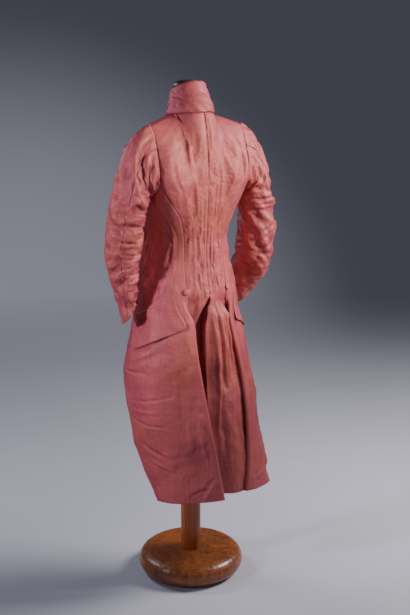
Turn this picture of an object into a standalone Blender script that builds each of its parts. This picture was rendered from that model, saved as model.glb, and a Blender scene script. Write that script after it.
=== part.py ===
"""A long cutaway coat in shot silk, worn on a limbless dress form with a turned wooden stand.

Metres, +Z up. The origin is the middle of the stand's base, on the floor. The back of the coat faces +Y,
and the coat's left side is at +X. Every panel is an open sheet lofted through polar sections round the
post's axis and given its thickness by Solidify. Angles run from the centre back (0) to the centre front (180).
"""
import math

import bmesh
import bpy
from mathutils import Matrix, Vector

# Driving dimensions
WALL = 0.0015            # silk with its interlining
SEAM = 0.0003            # gap between two pieces at a seam
BASE_RADIUS = 0.168
BASE_HEIGHT = 0.070
POST_RADIUS = 0.032
NECK_TOP = 1.531         # top of the form's neck, under the wooden cap
CAP_RADIUS = 0.0415
CAP_HEIGHT = 0.0225

HEM = 0.296              # hem above the floor
PLEAT_HEAD = 0.926       # the hip buttons, where the side pleats open
VENT_TOP = 0.924
CHEST = 1.269            # level where the side-back seam leaves the armhole
WAIST = 1.094
ARMHOLE_DROP = 0.046     # how far the armhole dips below that level

# Sections of the coat: height, then the distance from the axis at each station, an angle from the centre back
STATIONS = (0, 30, 60, 90, 120, 150, 180)
BODICE = (
    (1.269, 0.099, 0.114, 0.181, 0.166, 0.146, 0.135, 0.125),
    (1.206, 0.096, 0.109, 0.155, 0.157, 0.146, 0.138, 0.130),
    (1.154, 0.092, 0.101, 0.129, 0.142, 0.146, 0.142, 0.137),
    (1.094, 0.088, 0.093, 0.109, 0.130, 0.147, 0.147, 0.145),
    (1.004, 0.090, 0.097, 0.121, 0.145, 0.156, 0.152, 0.150),
    (0.926, 0.104, 0.112, 0.139, 0.158, 0.167, 0.157, 0.152),
)
LEFT_SKIRT = (
    (0.834, 0.128, 0.136, 0.160, 0.172, 0.178, 0.168, 0.160),
    (0.684, 0.160, 0.166, 0.186, 0.200, 0.207, 0.190, 0.175),
    (0.484, 0.178, 0.178, 0.188, 0.198, 0.203, 0.195, 0.180),
    (0.296, 0.183, 0.172, 0.178, 0.188, 0.195, 0.190, 0.180),
)
RIGHT_SKIRT = (
    (0.834, 0.128, 0.136, 0.161, 0.170, 0.172, 0.165, 0.160),
    (0.684, 0.150, 0.168, 0.188, 0.193, 0.194, 0.182, 0.175),
    (0.484, 0.150, 0.188, 0.223, 0.215, 0.202, 0.190, 0.180),
    (0.296, 0.145, 0.195, 0.262, 0.250, 0.212, 0.190, 0.180),
)

# Seam and edge lines: angle from the centre back at each height
SIDE_BACK_SEAM = ((1.269, 61.5), (1.221, 58.5), (1.164, 48.5), (1.099, 45.0), (0.991, 42.5), (0.926, 37.5))
FRONT_EDGE = {
    "left": ((1.269, 179.4), (1.134, 179.4), (1.054, 176.0), (0.954, 165.0), (0.854, 151.0), (0.764, 138.0),
             (0.669, 123.0), (0.587, 111.0), (0.504, 100.0), (0.447, 90.5), (0.352, 79.0), (0.296, 69.0)),
    "right": ((1.269, 179.4), (1.134, 179.4), (1.054, 176.0), (0.954, 165.0), (0.854, 151.0), (0.764, 138.0),
              (0.669, 122.0), (0.587, 109.0), (0.504, 96.0), (0.447, 86.0), (0.352, 69.0), (0.296, 55.0)),
}

# Skirt pleats: height, angle of the outer fold, overlap under it, space between layers,
# angle of the back panel's vent edge, and how far that edge lies inside the section
PLEAT_COLUMNS = ("height", "fold", "overlap", "layer", "vent_edge", "vent_inset")
PLEATS = {
    "left": ((0.926, 38.0, 0.000, 0.006, 0.0, 0.000),
             (0.872, 31.5, 0.026, 0.009, 15.0, 0.014),
             (0.780, 28.5, 0.050, 0.011, 25.0, 0.026),
             (0.669, 22.5, 0.065, 0.011, 24.0, 0.026),
             (0.484, 12.0, 0.070, 0.011, 14.0, 0.026),
             (0.296, 0.0, 0.072, 0.010, 2.0, 0.024)),
    "right": ((0.926, 38.0, 0.000, 0.006, 0.0, 0.000),
              (0.872, 34.0, 0.026, 0.009, -6.0, 0.000),
              (0.780, 34.0, 0.036, 0.011, -11.0, 0.000),
              (0.669, 36.0, 0.034, 0.012, -12.0, 0.000),
              (0.484, 36.0, 0.028, 0.012, -8.0, 0.002),
              (0.296, 32.0, 0.026, 0.012, 3.0, 0.004)),
}
UNDERLAP = ((0.0020, 0.014), (0.0045, 0.034), (0.026, 0.043))  # past the right vent edge: reach and inset

# Neck seam and shoulder seam
NECK_BACK = Vector((0.0, 0.0715, 1.464))
NECK_SIDE = Vector((0.064, 0.006, 1.458))
NECK_FRONT = Vector((0.0, -0.066, 1.406))
SHOULDER = Vector((0.160, 0.034, 1.428))
ARMHOLE_FRONT_ANGLE = 102.0

# Lattice counts
NECK_BACK_COLUMNS = 4
NECK_FRONT_COLUMNS = 4
SHOULDER_COLUMNS = 4
SIDE_COLUMNS = 5
YOKE_ROWS = 6
YOKE_LIP = 0.99
BODICE_LEVELS = (1.269, 1.237, 1.206, 1.154, 1.094, 1.044, 0.991, 0.954, 0.938, 0.926)
SKIRT_LEVELS = (0.918, 0.914, 0.910, 0.902, 0.892, 0.882, 0.872, 0.854, 0.829, 0.804, 0.780, 0.724, 0.669, 0.579,
                0.484, 0.389, HEM)
PLEAT_FLAT = 0.014       # width that the pleat's columns take above its head
PLEAT_SEAM_STEP = 0.0008 # how far apart the two edges lie at the seam inside a pleat

SIGN = {"left": 1.0, "right": -1.0}


def smooth(t):
    t = min(1.0, max(0.0, t))
    return t * t * (3 - 2 * t)


def cubic(points, x):
    """Smooth curve through (x, y) points, in any order of x, flat beyond the ends."""
    points = sorted(points)
    if x <= points[0][0]:
        return points[0][1]
    if x >= points[-1][0]:
        return points[-1][1]
    last = len(points) - 1
    i = max(k for k in range(last) if points[k][0] <= x)
    (x0, y0), (x1, y1) = points[i], points[i + 1]

    def slope(k):
        a, b = points[max(k - 1, 0)], points[min(k + 1, last)]
        return (b[1] - a[1]) / (b[0] - a[0])

    h = x1 - x0
    t = (x - x0) / h
    return (y0 * (2 * t**3 - 3 * t**2 + 1) + slope(i) * h * (t**3 - 2 * t**2 + t)
            + y1 * (3 * t**2 - 2 * t**3) + slope(i + 1) * h * (t**3 - t**2))


def column(table, index):
    return [(row[0], row[index]) for row in table]


def radius(side, angle, z):
    """Distance of the coat's outside from the axis."""
    table = BODICE + (LEFT_SKIRT if side == "left" else RIGHT_SKIRT)
    at = [(a, cubic(column(table, k + 1), z)) for k, a in enumerate(STATIONS)]
    mirrored = [(-at[1][0], at[1][1])] + at + [(360 - at[-2][0], at[-2][1])]
    return cubic(mirrored, abs(angle))


def polar(side, angle, z, inset=0.0):
    r = radius(side, angle, z) - inset
    a = math.radians(angle)
    return Vector((SIGN[side] * r * math.sin(a), r * math.cos(a), z))


def hermite(p0, p1, t0, t1, s):
    return (p0 * (2 * s**3 - 3 * s**2 + 1) + t0 * (s**3 - 2 * s**2 + s)
            + p1 * (3 * s**2 - 2 * s**3) + t1 * (s**3 - s**2))


def mirrored(side, point):
    return Vector((SIGN[side] * point.x, point.y, point.z))


def neck_line(t):
    """Neck seam of the left half: 0 at the centre back, 1 at the shoulder seam, 2 at the centre front."""
    if t <= 1:
        a = math.radians(90 * t)
        return Vector((NECK_SIDE.x * math.sin(a),
                       NECK_SIDE.y + (NECK_BACK.y - NECK_SIDE.y) * math.cos(a),
                       NECK_SIDE.z + (NECK_BACK.z - NECK_SIDE.z) * math.cos(a)))
    a = math.radians(90 * (t - 1))
    return Vector((NECK_SIDE.x * math.cos(a),
                   NECK_SIDE.y + (NECK_FRONT.y - NECK_SIDE.y) * math.sin(a),
                   NECK_SIDE.z + (NECK_FRONT.z - NECK_SIDE.z) * (1 - math.cos(a))))


def yoke(base, top, top_tangent, s):
    """Upper body: a curve from the chest level up and over to the neck or shoulder seam."""
    rise = Vector((0, 0, top.z - base.z))
    return hermite(base, top, rise * 1.1, top_tangent, s)


def back_top(k):
    """Seam point and tangent above column k of the back."""
    n = NECK_BACK_COLUMNS
    if k <= n:
        share = k / n
        steep = Vector((0, -0.04, 0.07)).lerp(Vector((0, -0.10, 0.0)), share)
        return neck_line(share), steep
    share = (k - n) / SHOULDER_COLUMNS
    return NECK_SIDE.lerp(SHOULDER, share), Vector((0, -0.10 + 0.045 * share, 0))


def front_top(k):
    """Seam point and tangent above column k of the front, counted from the armhole."""
    n = SHOULDER_COLUMNS
    if k <= n:
        share = 1 - k / n
        return NECK_SIDE.lerp(SHOULDER, share), Vector((0, 0.10 + 0.05 * share, 0))
    share = (k - n) / NECK_FRONT_COLUMNS
    return neck_line(1 + share), Vector((0, 0.10, 0.0)).lerp(Vector((0, 0.04, 0.08)), share)


def back_base_angle(k):
    """Angle at chest level of column k of the back."""
    n = NECK_BACK_COLUMNS
    neck_angle = 34.0
    edge = SIDE_BACK_SEAM[0][1]
    if k <= n:
        return neck_angle * k / n
    return neck_angle + (edge - neck_angle) * (k - n) / SHOULDER_COLUMNS


def front_base_angle(k):
    n = SHOULDER_COLUMNS
    neck_angle = 149.0
    if k <= n:
        return ARMHOLE_FRONT_ANGLE + (neck_angle - ARMHOLE_FRONT_ANGLE) * k / n
    return neck_angle + (FRONT_EDGE["left"][0][1] - neck_angle) * (k - n) / NECK_FRONT_COLUMNS


def pleat(side, z):
    return {name: cubic(column(PLEATS[side], k), z) for k, name in enumerate(PLEAT_COLUMNS) if k}


def opened(z, start, end):
    """0 above start, 1 below end."""
    return smooth((start - z) / (start - end))


def pleat_path(side, z):
    """Columns of the front panel from the inner fold's seam out to the outer fold, as (angle, inset)."""
    p = pleat(side, z)
    r = radius(side, p["fold"], z)
    gap, lap = p["layer"], p["overlap"]
    folded = [(lap + gap / 2, 1.5)]
    folded += [(lap * s, 1.0) for s in (1.0, 0.5)]
    for a in (90, 30, -30, -90):
        folded.append((-gap / 2 * math.cos(math.radians(a)), (1 + math.sin(math.radians(a))) / 2))
    across = opened(z, PLEAT_HEAD - 0.004, PLEAT_HEAD - 0.090)
    depth = opened(z, PLEAT_HEAD + 0.010, PLEAT_HEAD - 0.030)
    seam_angle = cubic(SIDE_BACK_SEAM, z)
    path = []
    for k, (t, packed) in enumerate(folded):
        spread = 1.5 - k / 4
        layer = spread + (packed - spread) * across
        flat_angle = seam_angle + math.degrees(PLEAT_FLAT * k / (len(folded) - 1) / r)
        fold_angle = p["fold"] + math.degrees(t / r)
        path.append((flat_angle + (fold_angle - flat_angle) * across, depth * layer * gap))
    return path


PLEAT_STEPS = 6  # strips of the front panel that make its pleat


def seam_shift(side, z):
    """Half a seam's gap as an angle."""
    return math.degrees(SEAM / 2 / radius(side, cubic(SIDE_BACK_SEAM, z), z))


def front_row(side, z_of_angle, z):
    """Points of the front panel at one level, from the side-back seam to the front edge."""
    path = pleat_path(side, z)
    angles = [(a + (seam_shift(side, z) if k == 0 else 0), inset) for k, (a, inset) in enumerate(path)]
    start = angles[-1][0]
    edge = cubic(FRONT_EDGE[side], z)
    count = SIDE_COLUMNS + SHOULDER_COLUMNS + NECK_FRONT_COLUMNS
    top_angles = [start + (ARMHOLE_FRONT_ANGLE - start) * k / SIDE_COLUMNS for k in range(1, SIDE_COLUMNS)]
    top_angles += [front_base_angle(k) for k in range(SHOULDER_COLUMNS + NECK_FRONT_COLUMNS + 1)]
    even = smooth((CHEST - z) / (CHEST - WAIST))
    for k in range(1, count + 1):
        level = start + (edge - start) * k / count
        top = start + (top_angles[k - 1] - start) * (edge - start) / (top_angles[-1] - start)
        angles.append((top + (level - top) * even, 0.0))
    return [polar(side, a, z_of_angle(a, z), inset) for a, inset in angles]


def armhole_level(angle, z):
    """Lowers the levels under the arm so that the top one follows the bottom of the armhole."""
    start, end = SIDE_BACK_SEAM[0][1], ARMHOLE_FRONT_ANGLE
    if z <= WAIST or not start < angle < end:
        return z
    dip = ARMHOLE_DROP * math.sin(math.pi * (angle - start) / (end - start)) ** 0.6
    return z - dip * (z - WAIST) / (CHEST - WAIST)


def back_row(side, z):
    """Points of the back panel at one level, from the centre back or vent edge to the side-back seam."""
    p = pleat(side, z)
    below = opened(z, VENT_TOP + 0.002, VENT_TOP - 0.010)
    path = pleat_path(side, z)
    seam_angle, seam_inset = path[0]
    last_angle = seam_angle - math.degrees(PLEAT_FLAT / PLEAT_STEPS / radius(side, seam_angle, z))
    folded_angle = p["fold"] + math.degrees(p["overlap"] / radius(side, p["fold"], z))
    across = opened(z, PLEAT_HEAD - 0.004, PLEAT_HEAD - 0.090)
    depth = opened(z, PLEAT_HEAD + 0.010, PLEAT_HEAD - 0.030)
    last_angle += (folded_angle - last_angle) * across
    last_inset = depth * 2 * p["layer"]
    centre_gap = math.degrees(SEAM / 2 / radius(side, 0, z))
    first_angle = centre_gap + (p["vent_edge"] - centre_gap) * below
    count = NECK_BACK_COLUMNS + SHOULDER_COLUMNS
    even = smooth((CHEST - z) / (CHEST - WAIST))
    points = []
    for k in range(count + 1):
        top = back_base_angle(k) / back_base_angle(count)
        share = top + (k / count - top) * even
        angle = first_angle + (last_angle - first_angle) * share
        inset = p["vent_inset"] * below * (1 - share) + last_inset * smooth(share)
        points.append(polar(side, angle, z, inset))
    points.append(polar(side, seam_angle - seam_shift(side, z), z, seam_inset + depth * PLEAT_SEAM_STEP))
    if side == "right":
        edge = points[0]
        lap = []
        for k, (reach, depth_in) in enumerate(UNDERLAP):
            folded_in = -0.0018 * (len(UNDERLAP) - 1 - k)
            turned = opened(z, VENT_TOP - 0.010, VENT_TOP - 0.032)
            angle = first_angle - math.degrees((folded_in + (reach - folded_in) * turned) / radius(side, 0, z))
            lap.append(polar(side, angle, z, depth_in * opened(z, VENT_TOP - 0.006, VENT_TOP - 0.022)))
        shift = math.degrees(0.0060 * (1 - turned) / radius(side, 0, z))
        points = list(reversed(lap)) + [polar(side, first_angle + shift, z)] + points[1:]
    return points


def yoke_rows(side, bases, tops):
    """Rows above chest level, from the top down, with one close to the seam that keeps it level there."""
    rows = []
    for s in [1.0, YOKE_LIP] + [1 - i / YOKE_ROWS for i in range(1, YOKE_ROWS)]:
        rows.append([yoke(base, mirrored(side, top), tangent, s) for base, (top, tangent) in zip(bases, tops)])
    return rows


def sheet_object(name, grid, flip, thickness=WALL, levels_in=-1.0):
    """An open sheet from rows of points, where None marks what is cut away, given its thickness inwards."""
    mesh = bpy.data.meshes.new(name)
    bm = bmesh.new()
    made = [[bm.verts.new(p) if p is not None else None for p in row] for row in grid]
    for upper, lower in zip(made, made[1:]):
        for k in range(len(upper) - 1):
            corners = (upper[k], lower[k], lower[k + 1], upper[k + 1])
            if None in corners:
                continue
            bm.faces.new(corners if not flip else corners[::-1])
    loose = [v for v in bm.verts if not v.link_faces]
    bmesh.ops.delete(bm, geom=loose, context="VERTS")
    bm.to_mesh(mesh)
    bm.free()
    mesh.shade_smooth()
    made_object = bpy.data.objects.new(name, mesh)
    COAT.objects.link(made_object)
    solid = made_object.modifiers.new("Thickness", "SOLIDIFY")
    solid.thickness = thickness
    solid.offset = levels_in
    solid.use_even_offset = False
    return made_object


# Cloth, wood and linen

def material(name, colour, roughness):
    made = bpy.data.materials.new(name)
    made.use_nodes = True
    shader = made.node_tree.nodes["Principled BSDF"]
    shader.inputs["Base Color"].default_value = (*colour, 1)
    shader.inputs["Roughness"].default_value = roughness
    shader.inputs["Metallic"].default_value = 0.0
    return made


for old in list(bpy.data.objects):
    bpy.data.objects.remove(old)
COAT = bpy.data.collections.new("cutaway_coat_on_dress_form")
bpy.context.scene.collection.children.link(COAT)


def silk(name):
    return material(f"{name}_silk", (0.36, 0.11, 0.11), 0.45)


def linen(name):
    return material(f"{name}_linen", (0.70, 0.66, 0.58), 0.9)


def wood(name):
    return material(f"{name}_wood", (0.20, 0.06, 0.02), 0.35)


def dark_wood(name):
    return material(f"{name}_dark_wood", (0.06, 0.02, 0.01), 0.35)


def build_back(side):
    rows = [back_row(side, z) for z in BODICE_LEVELS + SKIRT_LEVELS]
    extra = len(UNDERLAP) if side == "right" else 0
    count = NECK_BACK_COLUMNS + SHOULDER_COLUMNS
    positions = [0] * extra + list(range(count + 1)) + [count]
    if extra:
        positions = [0, 0.05, 0.1, 0.15] + list(range(1, count + 1)) + [count]
    tops = [back_top(k) for k in positions]
    gap = Vector((0, SEAM / 2, 0))
    tops = [(top + gap if k > NECK_BACK_COLUMNS else top, tangent) for k, (top, tangent) in zip(positions, tops)]
    centre = Vector((SEAM / 2, 0, 0))
    tops[0] = (tops[0][0] + centre, tops[0][1])
    edge_top, edge_tangent = tops[-1]
    tops[-2] = (edge_top.lerp(NECK_SIDE, 0.02), edge_tangent)
    grid = yoke_rows(side, rows[0], tops) + rows
    piece = sheet_object(f"back_{side}", grid, flip=side == "left")
    piece.data.materials.append(silk(piece.name))
    return piece


def build_front(side):
    rows = [front_row(side, armhole_level, z) for z in BODICE_LEVELS + SKIRT_LEVELS]
    start = PLEAT_STEPS + SIDE_COLUMNS
    tops = [front_top(k) for k in range(SHOULDER_COLUMNS + NECK_FRONT_COLUMNS + 1)]
    gap = Vector((0, SEAM / 2, 0))
    tops = [(top - gap if k <= SHOULDER_COLUMNS else top, tangent) for k, (top, tangent) in enumerate(tops)]
    tops[-1] = (tops[-1][0] + Vector((0.0012, 0, 0)), tops[-1][1])
    upper = yoke_rows(side, rows[0][start:], tops)
    grid = [[None] * start + row for row in upper] + rows
    piece = sheet_object(f"front_{side}", grid, flip=side == "left")
    piece.data.materials.append(silk(piece.name))
    return piece


# Sleeves

SLEEVE_COLUMNS = 20
UPPER_COLUMNS = 9        # of those, the ones in the upper sleeve
SLEEVE_SEAM = 14         # column of the seam along the front of the arm
HEAD_ROWS = 6            # rows from the armhole to the first ring below it
SLEEVE_GAP = 0.0006      # between the armhole's edge and the sleeve's

# Sleeve rings below the armhole: out, back and height of the middle, half width and half depth, how many
# degrees the flattened ring turns, and how much lower than its middle its outer side hangs
ARM_COLUMNS = ("out", "back", "height", "half_width", "half_depth", "turn", "hang")
ARMS = {
    "left": ((0.216, 0.019, 1.234, 0.051, 0.061, 0, 0.000),
             (0.227, 0.012, 1.174, 0.051, 0.059, 0, 0.000),
             (0.233, 0.005, 1.124, 0.051, 0.057, 0, 0.000),
             (0.236, -0.002, 1.079, 0.052, 0.056, 0, 0.000),
             (0.233, -0.010, 1.037, 0.048, 0.053, 0, 0.000),
             (0.225, -0.018, 0.996, 0.042, 0.048, 4, 0.001),
             (0.218, -0.023, 0.952, 0.036, 0.043, 10, 0.004),
             (0.211, -0.026, 0.911, 0.030, 0.039, 18, 0.012),
             (0.204, -0.028, 0.872, 0.025, 0.035, 26, 0.027)),
    "right": ((0.224, 0.024, 1.230, 0.052, 0.060, 0, 0.000),
              (0.238, 0.022, 1.174, 0.054, 0.060, 0, 0.000),
              (0.245, 0.018, 1.119, 0.055, 0.061, 0, 0.000),
              (0.249, 0.012, 1.064, 0.056, 0.063, 0, 0.000),
              (0.250, 0.000, 1.012, 0.055, 0.064, 0, 0.000),
              (0.248, -0.026, 0.964, 0.050, 0.059, 0, 0.000),
              (0.245, -0.058, 0.922, 0.044, 0.051, 0, 0.000),
              (0.242, -0.090, 0.885, 0.039, 0.044, 0, 0.000),
              (0.238, -0.120, 0.851, 0.035, 0.039, 0, 0.000)),
}


def armhole_ring(side):
    """Armhole edge from the shoulder down the back, under the arm and up the front."""
    steps = 24
    back_base = polar(side, SIDE_BACK_SEAM[0][1], CHEST)
    front_base = polar(side, ARMHOLE_FRONT_ANGLE, CHEST)
    back_top_point, back_tangent = back_top(NECK_BACK_COLUMNS + SHOULDER_COLUMNS)
    front_top_point, front_tangent = front_top(0)
    line = [yoke(back_base, mirrored(side, back_top_point), back_tangent, 1 - i / steps) for i in range(steps)]
    for i in range(steps):
        angle = SIDE_BACK_SEAM[0][1] + (ARMHOLE_FRONT_ANGLE - SIDE_BACK_SEAM[0][1]) * i / steps
        line.append(polar(side, angle, armhole_level(angle, CHEST)))
    line += [yoke(front_base, mirrored(side, front_top_point), front_tangent, i / steps) for i in range(steps)]
    line.append(line[0])
    lengths = [0.0]
    for a, b in zip(line, line[1:]):
        lengths.append(lengths[-1] + (b - a).length)
    ring = []
    for k in range(SLEEVE_COLUMNS):
        goal = lengths[-1] * k / SLEEVE_COLUMNS
        i = max(n for n in range(len(lengths) - 1) if lengths[n] <= goal)
        ring.append(line[i].lerp(line[i + 1], (goal - lengths[i]) / (lengths[i + 1] - lengths[i])))
    return ring


def arm_rings(side):
    """Centre, direction and ring of points for each row of the arm's table."""
    rows = ARMS[side]
    middles = [Vector((SIGN[side] * row[0], row[1], row[2])) for row in rows]
    rings = []
    for i, row in enumerate(rows):
        direction = (middles[min(i + 1, len(rows) - 1)] - middles[max(i - 1, 0)]).normalized()
        out = Vector((SIGN[side], 0, 0))
        out = (out - direction * out.dot(direction)).normalized()
        back = out.cross(direction) * SIGN[side]
        back = back if back.y > 0 else -back
        _, _, _, wide, deep, turn, hang = row
        c, s = math.cos(math.radians(turn)), math.sin(math.radians(turn))
        ring = []
        for k in range(SLEEVE_COLUMNS):
            a = 2 * math.pi * k / SLEEVE_COLUMNS
            narrow = wide * (math.cos(a) * c - math.sin(a) * s)
            long = deep * (math.cos(a) * s + math.sin(a) * c)
            ring.append(middles[i] + out * (narrow * c + long * s) + back * (long * c - narrow * s)
                        + direction * (hang * narrow / wide))
        rings.append((middles[i], direction, ring))
    return rings


def sleeve_rows(side):
    hole = armhole_ring(side)
    rings = arm_rings(side)
    _, direction, first = rings[0]
    rows = []
    for i in range(HEAD_ROWS):
        t = i / HEAD_ROWS
        row = []
        for k in range(SLEEVE_COLUMNS):
            start = hole[k] + Vector((SIGN[side] * SLEEVE_GAP, 0, 0))
            reach = (first[k] - start).length
            out = Vector((SIGN[side], 0, -0.15)) * reach * 0.95
            row.append(hermite(start, first[k], out, direction * reach * 1.1, t))
        rows.append(row)
    return rows + [ring for _, _, ring in rings]


def build_sleeve(side):
    rows = sleeve_rows(side)
    flatness = [1.0] * HEAD_ROWS + [(row[4] / row[3]) ** 2 for row in ARMS[side]]
    back_seam = SLEEVE_SEAM + UPPER_COLUMNS
    spans = {"upper": (SLEEVE_SEAM, back_seam), "under": (back_seam, SLEEVE_SEAM + SLEEVE_COLUMNS)}
    for part, (first, last) in spans.items():
        grid = []
        for row, flat in zip(rows, flatness):
            points = [row[k % SLEEVE_COLUMNS] for k in range(first, last + 1)]
            start, end = points[0], points[-1]
            points[0] = start + (points[1] - start).normalized() * SEAM * flat
            points[-1] = end + (points[-2] - end).normalized() * SEAM * flat
            grid.append(points)
        piece = sheet_object(f"sleeve_{part}_{side}", grid, flip=side == "right")
        piece.data.materials.append(silk(piece.name))


# Collar

COLLAR_STEPS = 7         # columns on each half, on the panels' own neck columns; 8 would be the centre front
# Section of the collar from its seam up the stand and down the fall: outwards and upwards from the neck seam
COLLAR_PROFILE = ((0.0000, 0.0012), (-0.0065, 0.024), (-0.0140, 0.052), (-0.0195, 0.076), (-0.0190, 0.0835),
                  (-0.0160, 0.0858), (-0.0125, 0.0830), (-0.0100, 0.068), (-0.0030, 0.042), (0.0045, 0.016),
                  (0.0108, -0.0003))
NECK_LEAN = 0.012        # how far the top of the neck and collar leans forward


def collar_frame(t):
    """Point on the neck seam, its outward direction and how high the collar stands there."""
    half = abs(t)
    point = neck_line(half)
    ahead = neck_line(min(half + 0.02, 2.0)) - neck_line(max(half - 0.02, 0.0))
    out = Vector((-ahead.y, ahead.x, 0)).normalized() if half > 0.001 else Vector((0, 1, 0))
    if out.dot(Vector((point.x, point.y, 0))) < 0:
        out = -out
    if t < 0:
        point = Vector((-point.x, point.y, point.z))
        out = Vector((-out.x, out.y, 0))
    height = 1.0 - 0.30 * smooth(half / 1.9)
    return point, out, height


def build_collar():
    grid = []
    for out_by, up_by in COLLAR_PROFILE:
        row = []
        for k in range(-COLLAR_STEPS, COLLAR_STEPS + 1):
            point, out, height = collar_frame(k / NECK_BACK_COLUMNS)
            lean = NECK_LEAN * smooth(up_by / COLLAR_PROFILE[5][1])
            row.append(point + out * out_by + Vector((0, -lean, up_by * height)))
        grid.append(row)
    piece = sheet_object("collar", grid, flip=False, thickness=0.0018, levels_in=0.0)
    piece.data.materials.append(silk(piece.name))


# Pocket flaps and hip buttons

FLAP_COLUMNS = (PLEAT_STEPS + 1, PLEAT_STEPS + 8)   # of the front panel
FLAP_ROWS = 5
FLAP_TOP = (0.918, 0.862)      # height at its back end and front end
FLAP_BOTTOM = (0.837, 0.760)


def panel_point(grid, levels, k, z):
    """Point on column k of a panel at height z, between its rows."""
    for (upper, high), (lower, low) in zip(zip(grid, levels), zip(grid[1:], levels[1:])):
        if low <= z <= high:
            return upper[k].lerp(lower[k], (high - z) / (high - low))
    return grid[-1][k]


def build_flap(side):
    levels = BODICE_LEVELS + SKIRT_LEVELS
    grid = [front_row(side, armhole_level, z) for z in levels]
    first, last = FLAP_COLUMNS
    flap = []
    for i in range(FLAP_ROWS + 1):
        row = []
        for k in range(first, last + 1):
            share = (k - first) / (last - first)
            top = FLAP_TOP[0] + (FLAP_TOP[1] - FLAP_TOP[0]) * share
            bottom = FLAP_BOTTOM[0] + (FLAP_BOTTOM[1] - FLAP_BOTTOM[0]) * share
            z = top + (bottom - top) * i / FLAP_ROWS
            point = panel_point(grid, levels, k, z)
            across = panel_point(grid, levels, k + 1, z) - panel_point(grid, levels, k - 1, z)
            out = Vector((-across.y, across.x, 0)).normalized()
            if out.dot(Vector((point.x, point.y, 0))) < 0:
                out = -out
            row.append(point + out * (WALL + 0.0007 + 0.0010 * i / FLAP_ROWS))
        flap.append(row)
    piece = sheet_object(f"pocket_flap_{side}", flap, flip=side == "left")
    piece.data.materials.append(silk(piece.name))


def turned(name, profile, surface, steps=32, matrix=None):
    """A solid turned round the upright axis from (radius, height) pairs, from the top down."""
    mesh = bpy.data.meshes.new(name)
    bm = bmesh.new()
    verts = [bm.verts.new((r, 0, z)) for r, z in profile]
    for a, b in zip(verts, verts[1:]):
        bm.edges.new((a, b))
    bmesh.ops.spin(bm, geom=bm.verts[:] + bm.edges[:], axis=(0, 0, 1), cent=(0, 0, 0), angle=2 * math.pi,
                   steps=steps, use_merge=True)
    bmesh.ops.remove_doubles(bm, verts=bm.verts, dist=0.00001)
    bmesh.ops.recalc_face_normals(bm, faces=bm.faces)
    if matrix is not None:
        bm.transform(matrix)
    bm.to_mesh(mesh)
    bm.free()
    mesh.shade_smooth()
    mesh.materials.append(surface(name))
    made_object = bpy.data.objects.new(name, mesh)
    COAT.objects.link(made_object)
    return made_object


BUTTON_RADIUS = 0.0095
BUTTON_THICKNESS = 0.0045
BUTTON_LIFT = 0.0004


def build_button(side):
    z = PLEAT_HEAD + 0.014
    angle = cubic(SIDE_BACK_SEAM, z) + 1.5
    point = polar(side, angle, z)
    across = polar(side, angle + 3, z) - polar(side, angle - 3, z)
    down = polar(side, angle, z - BUTTON_RADIUS) - polar(side, angle, z + BUTTON_RADIUS)
    out = across.cross(down).normalized()
    if out.dot(Vector((point.x, point.y, 0))) < 0:
        out = -out
    seat = point + out * BUTTON_LIFT
    matrix = out.to_track_quat("Z", "Y").to_matrix().to_4x4()
    matrix.translation = seat
    shares = ((0.0, 1.0), (0.42, 0.96), (0.74, 0.78), (0.93, 0.5), (1.0, 0.22), (0.93, 0.0), (0.0, 0.0))
    profile = [(r * BUTTON_RADIUS, z * BUTTON_THICKNESS) for r, z in shares]
    turned(f"hip_button_{side}", profile, silk, 20, matrix)


# Dress form and stand

FORM_LEVELS = ((1.269, 0.0055), (1.206, 0.007), (1.154, 0.009), (1.094, 0.010), (1.004, 0.014), (0.939, 0.030),
               (0.909, 0.054), (0.879, 0.066), (0.849, 0.080), (0.831, 0.098))
FORM_SHRINK = 0.0045
FORM_DROP = 0.0045
ARM_PLATE_STEPS = 4


def shrunk(point, inset, drop=0.0):
    away = Vector((point.x, point.y, 0))
    return point - away.normalized() * inset - Vector((0, 0, drop))


def form_half(s):
    """Left half of the dress form at share s of the yoke, from the centre back to the centre front."""
    points = []
    for k in range(NECK_BACK_COLUMNS + SHOULDER_COLUMNS + 1):
        top, tangent = back_top(k)
        points.append(yoke(polar("left", back_base_angle(k), CHEST), top, tangent, s))
    front = []
    for k in range(SHOULDER_COLUMNS + NECK_FRONT_COLUMNS + 1):
        top, tangent = front_top(k)
        front.append(yoke(polar("left", front_base_angle(k), CHEST), top, tangent, s))
    start, end = points[-1], front[0]
    for k in range(1, ARM_PLATE_STEPS):
        share = k / ARM_PLATE_STEPS
        bulge = math.sin(math.pi * share) * 0.006 * (1 - s)
        points.append(start.lerp(end, share) + Vector((bulge, 0, 0)))
    return points + front


def form_ring(half, inset, drop):
    left = [shrunk(p, inset, drop) for p in half]
    left[0].x = 0.0
    left[-1].x = 0.0
    right = [Vector((-p.x, p.y, p.z)) for p in reversed(left[1:-1])]
    return left + right


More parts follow.
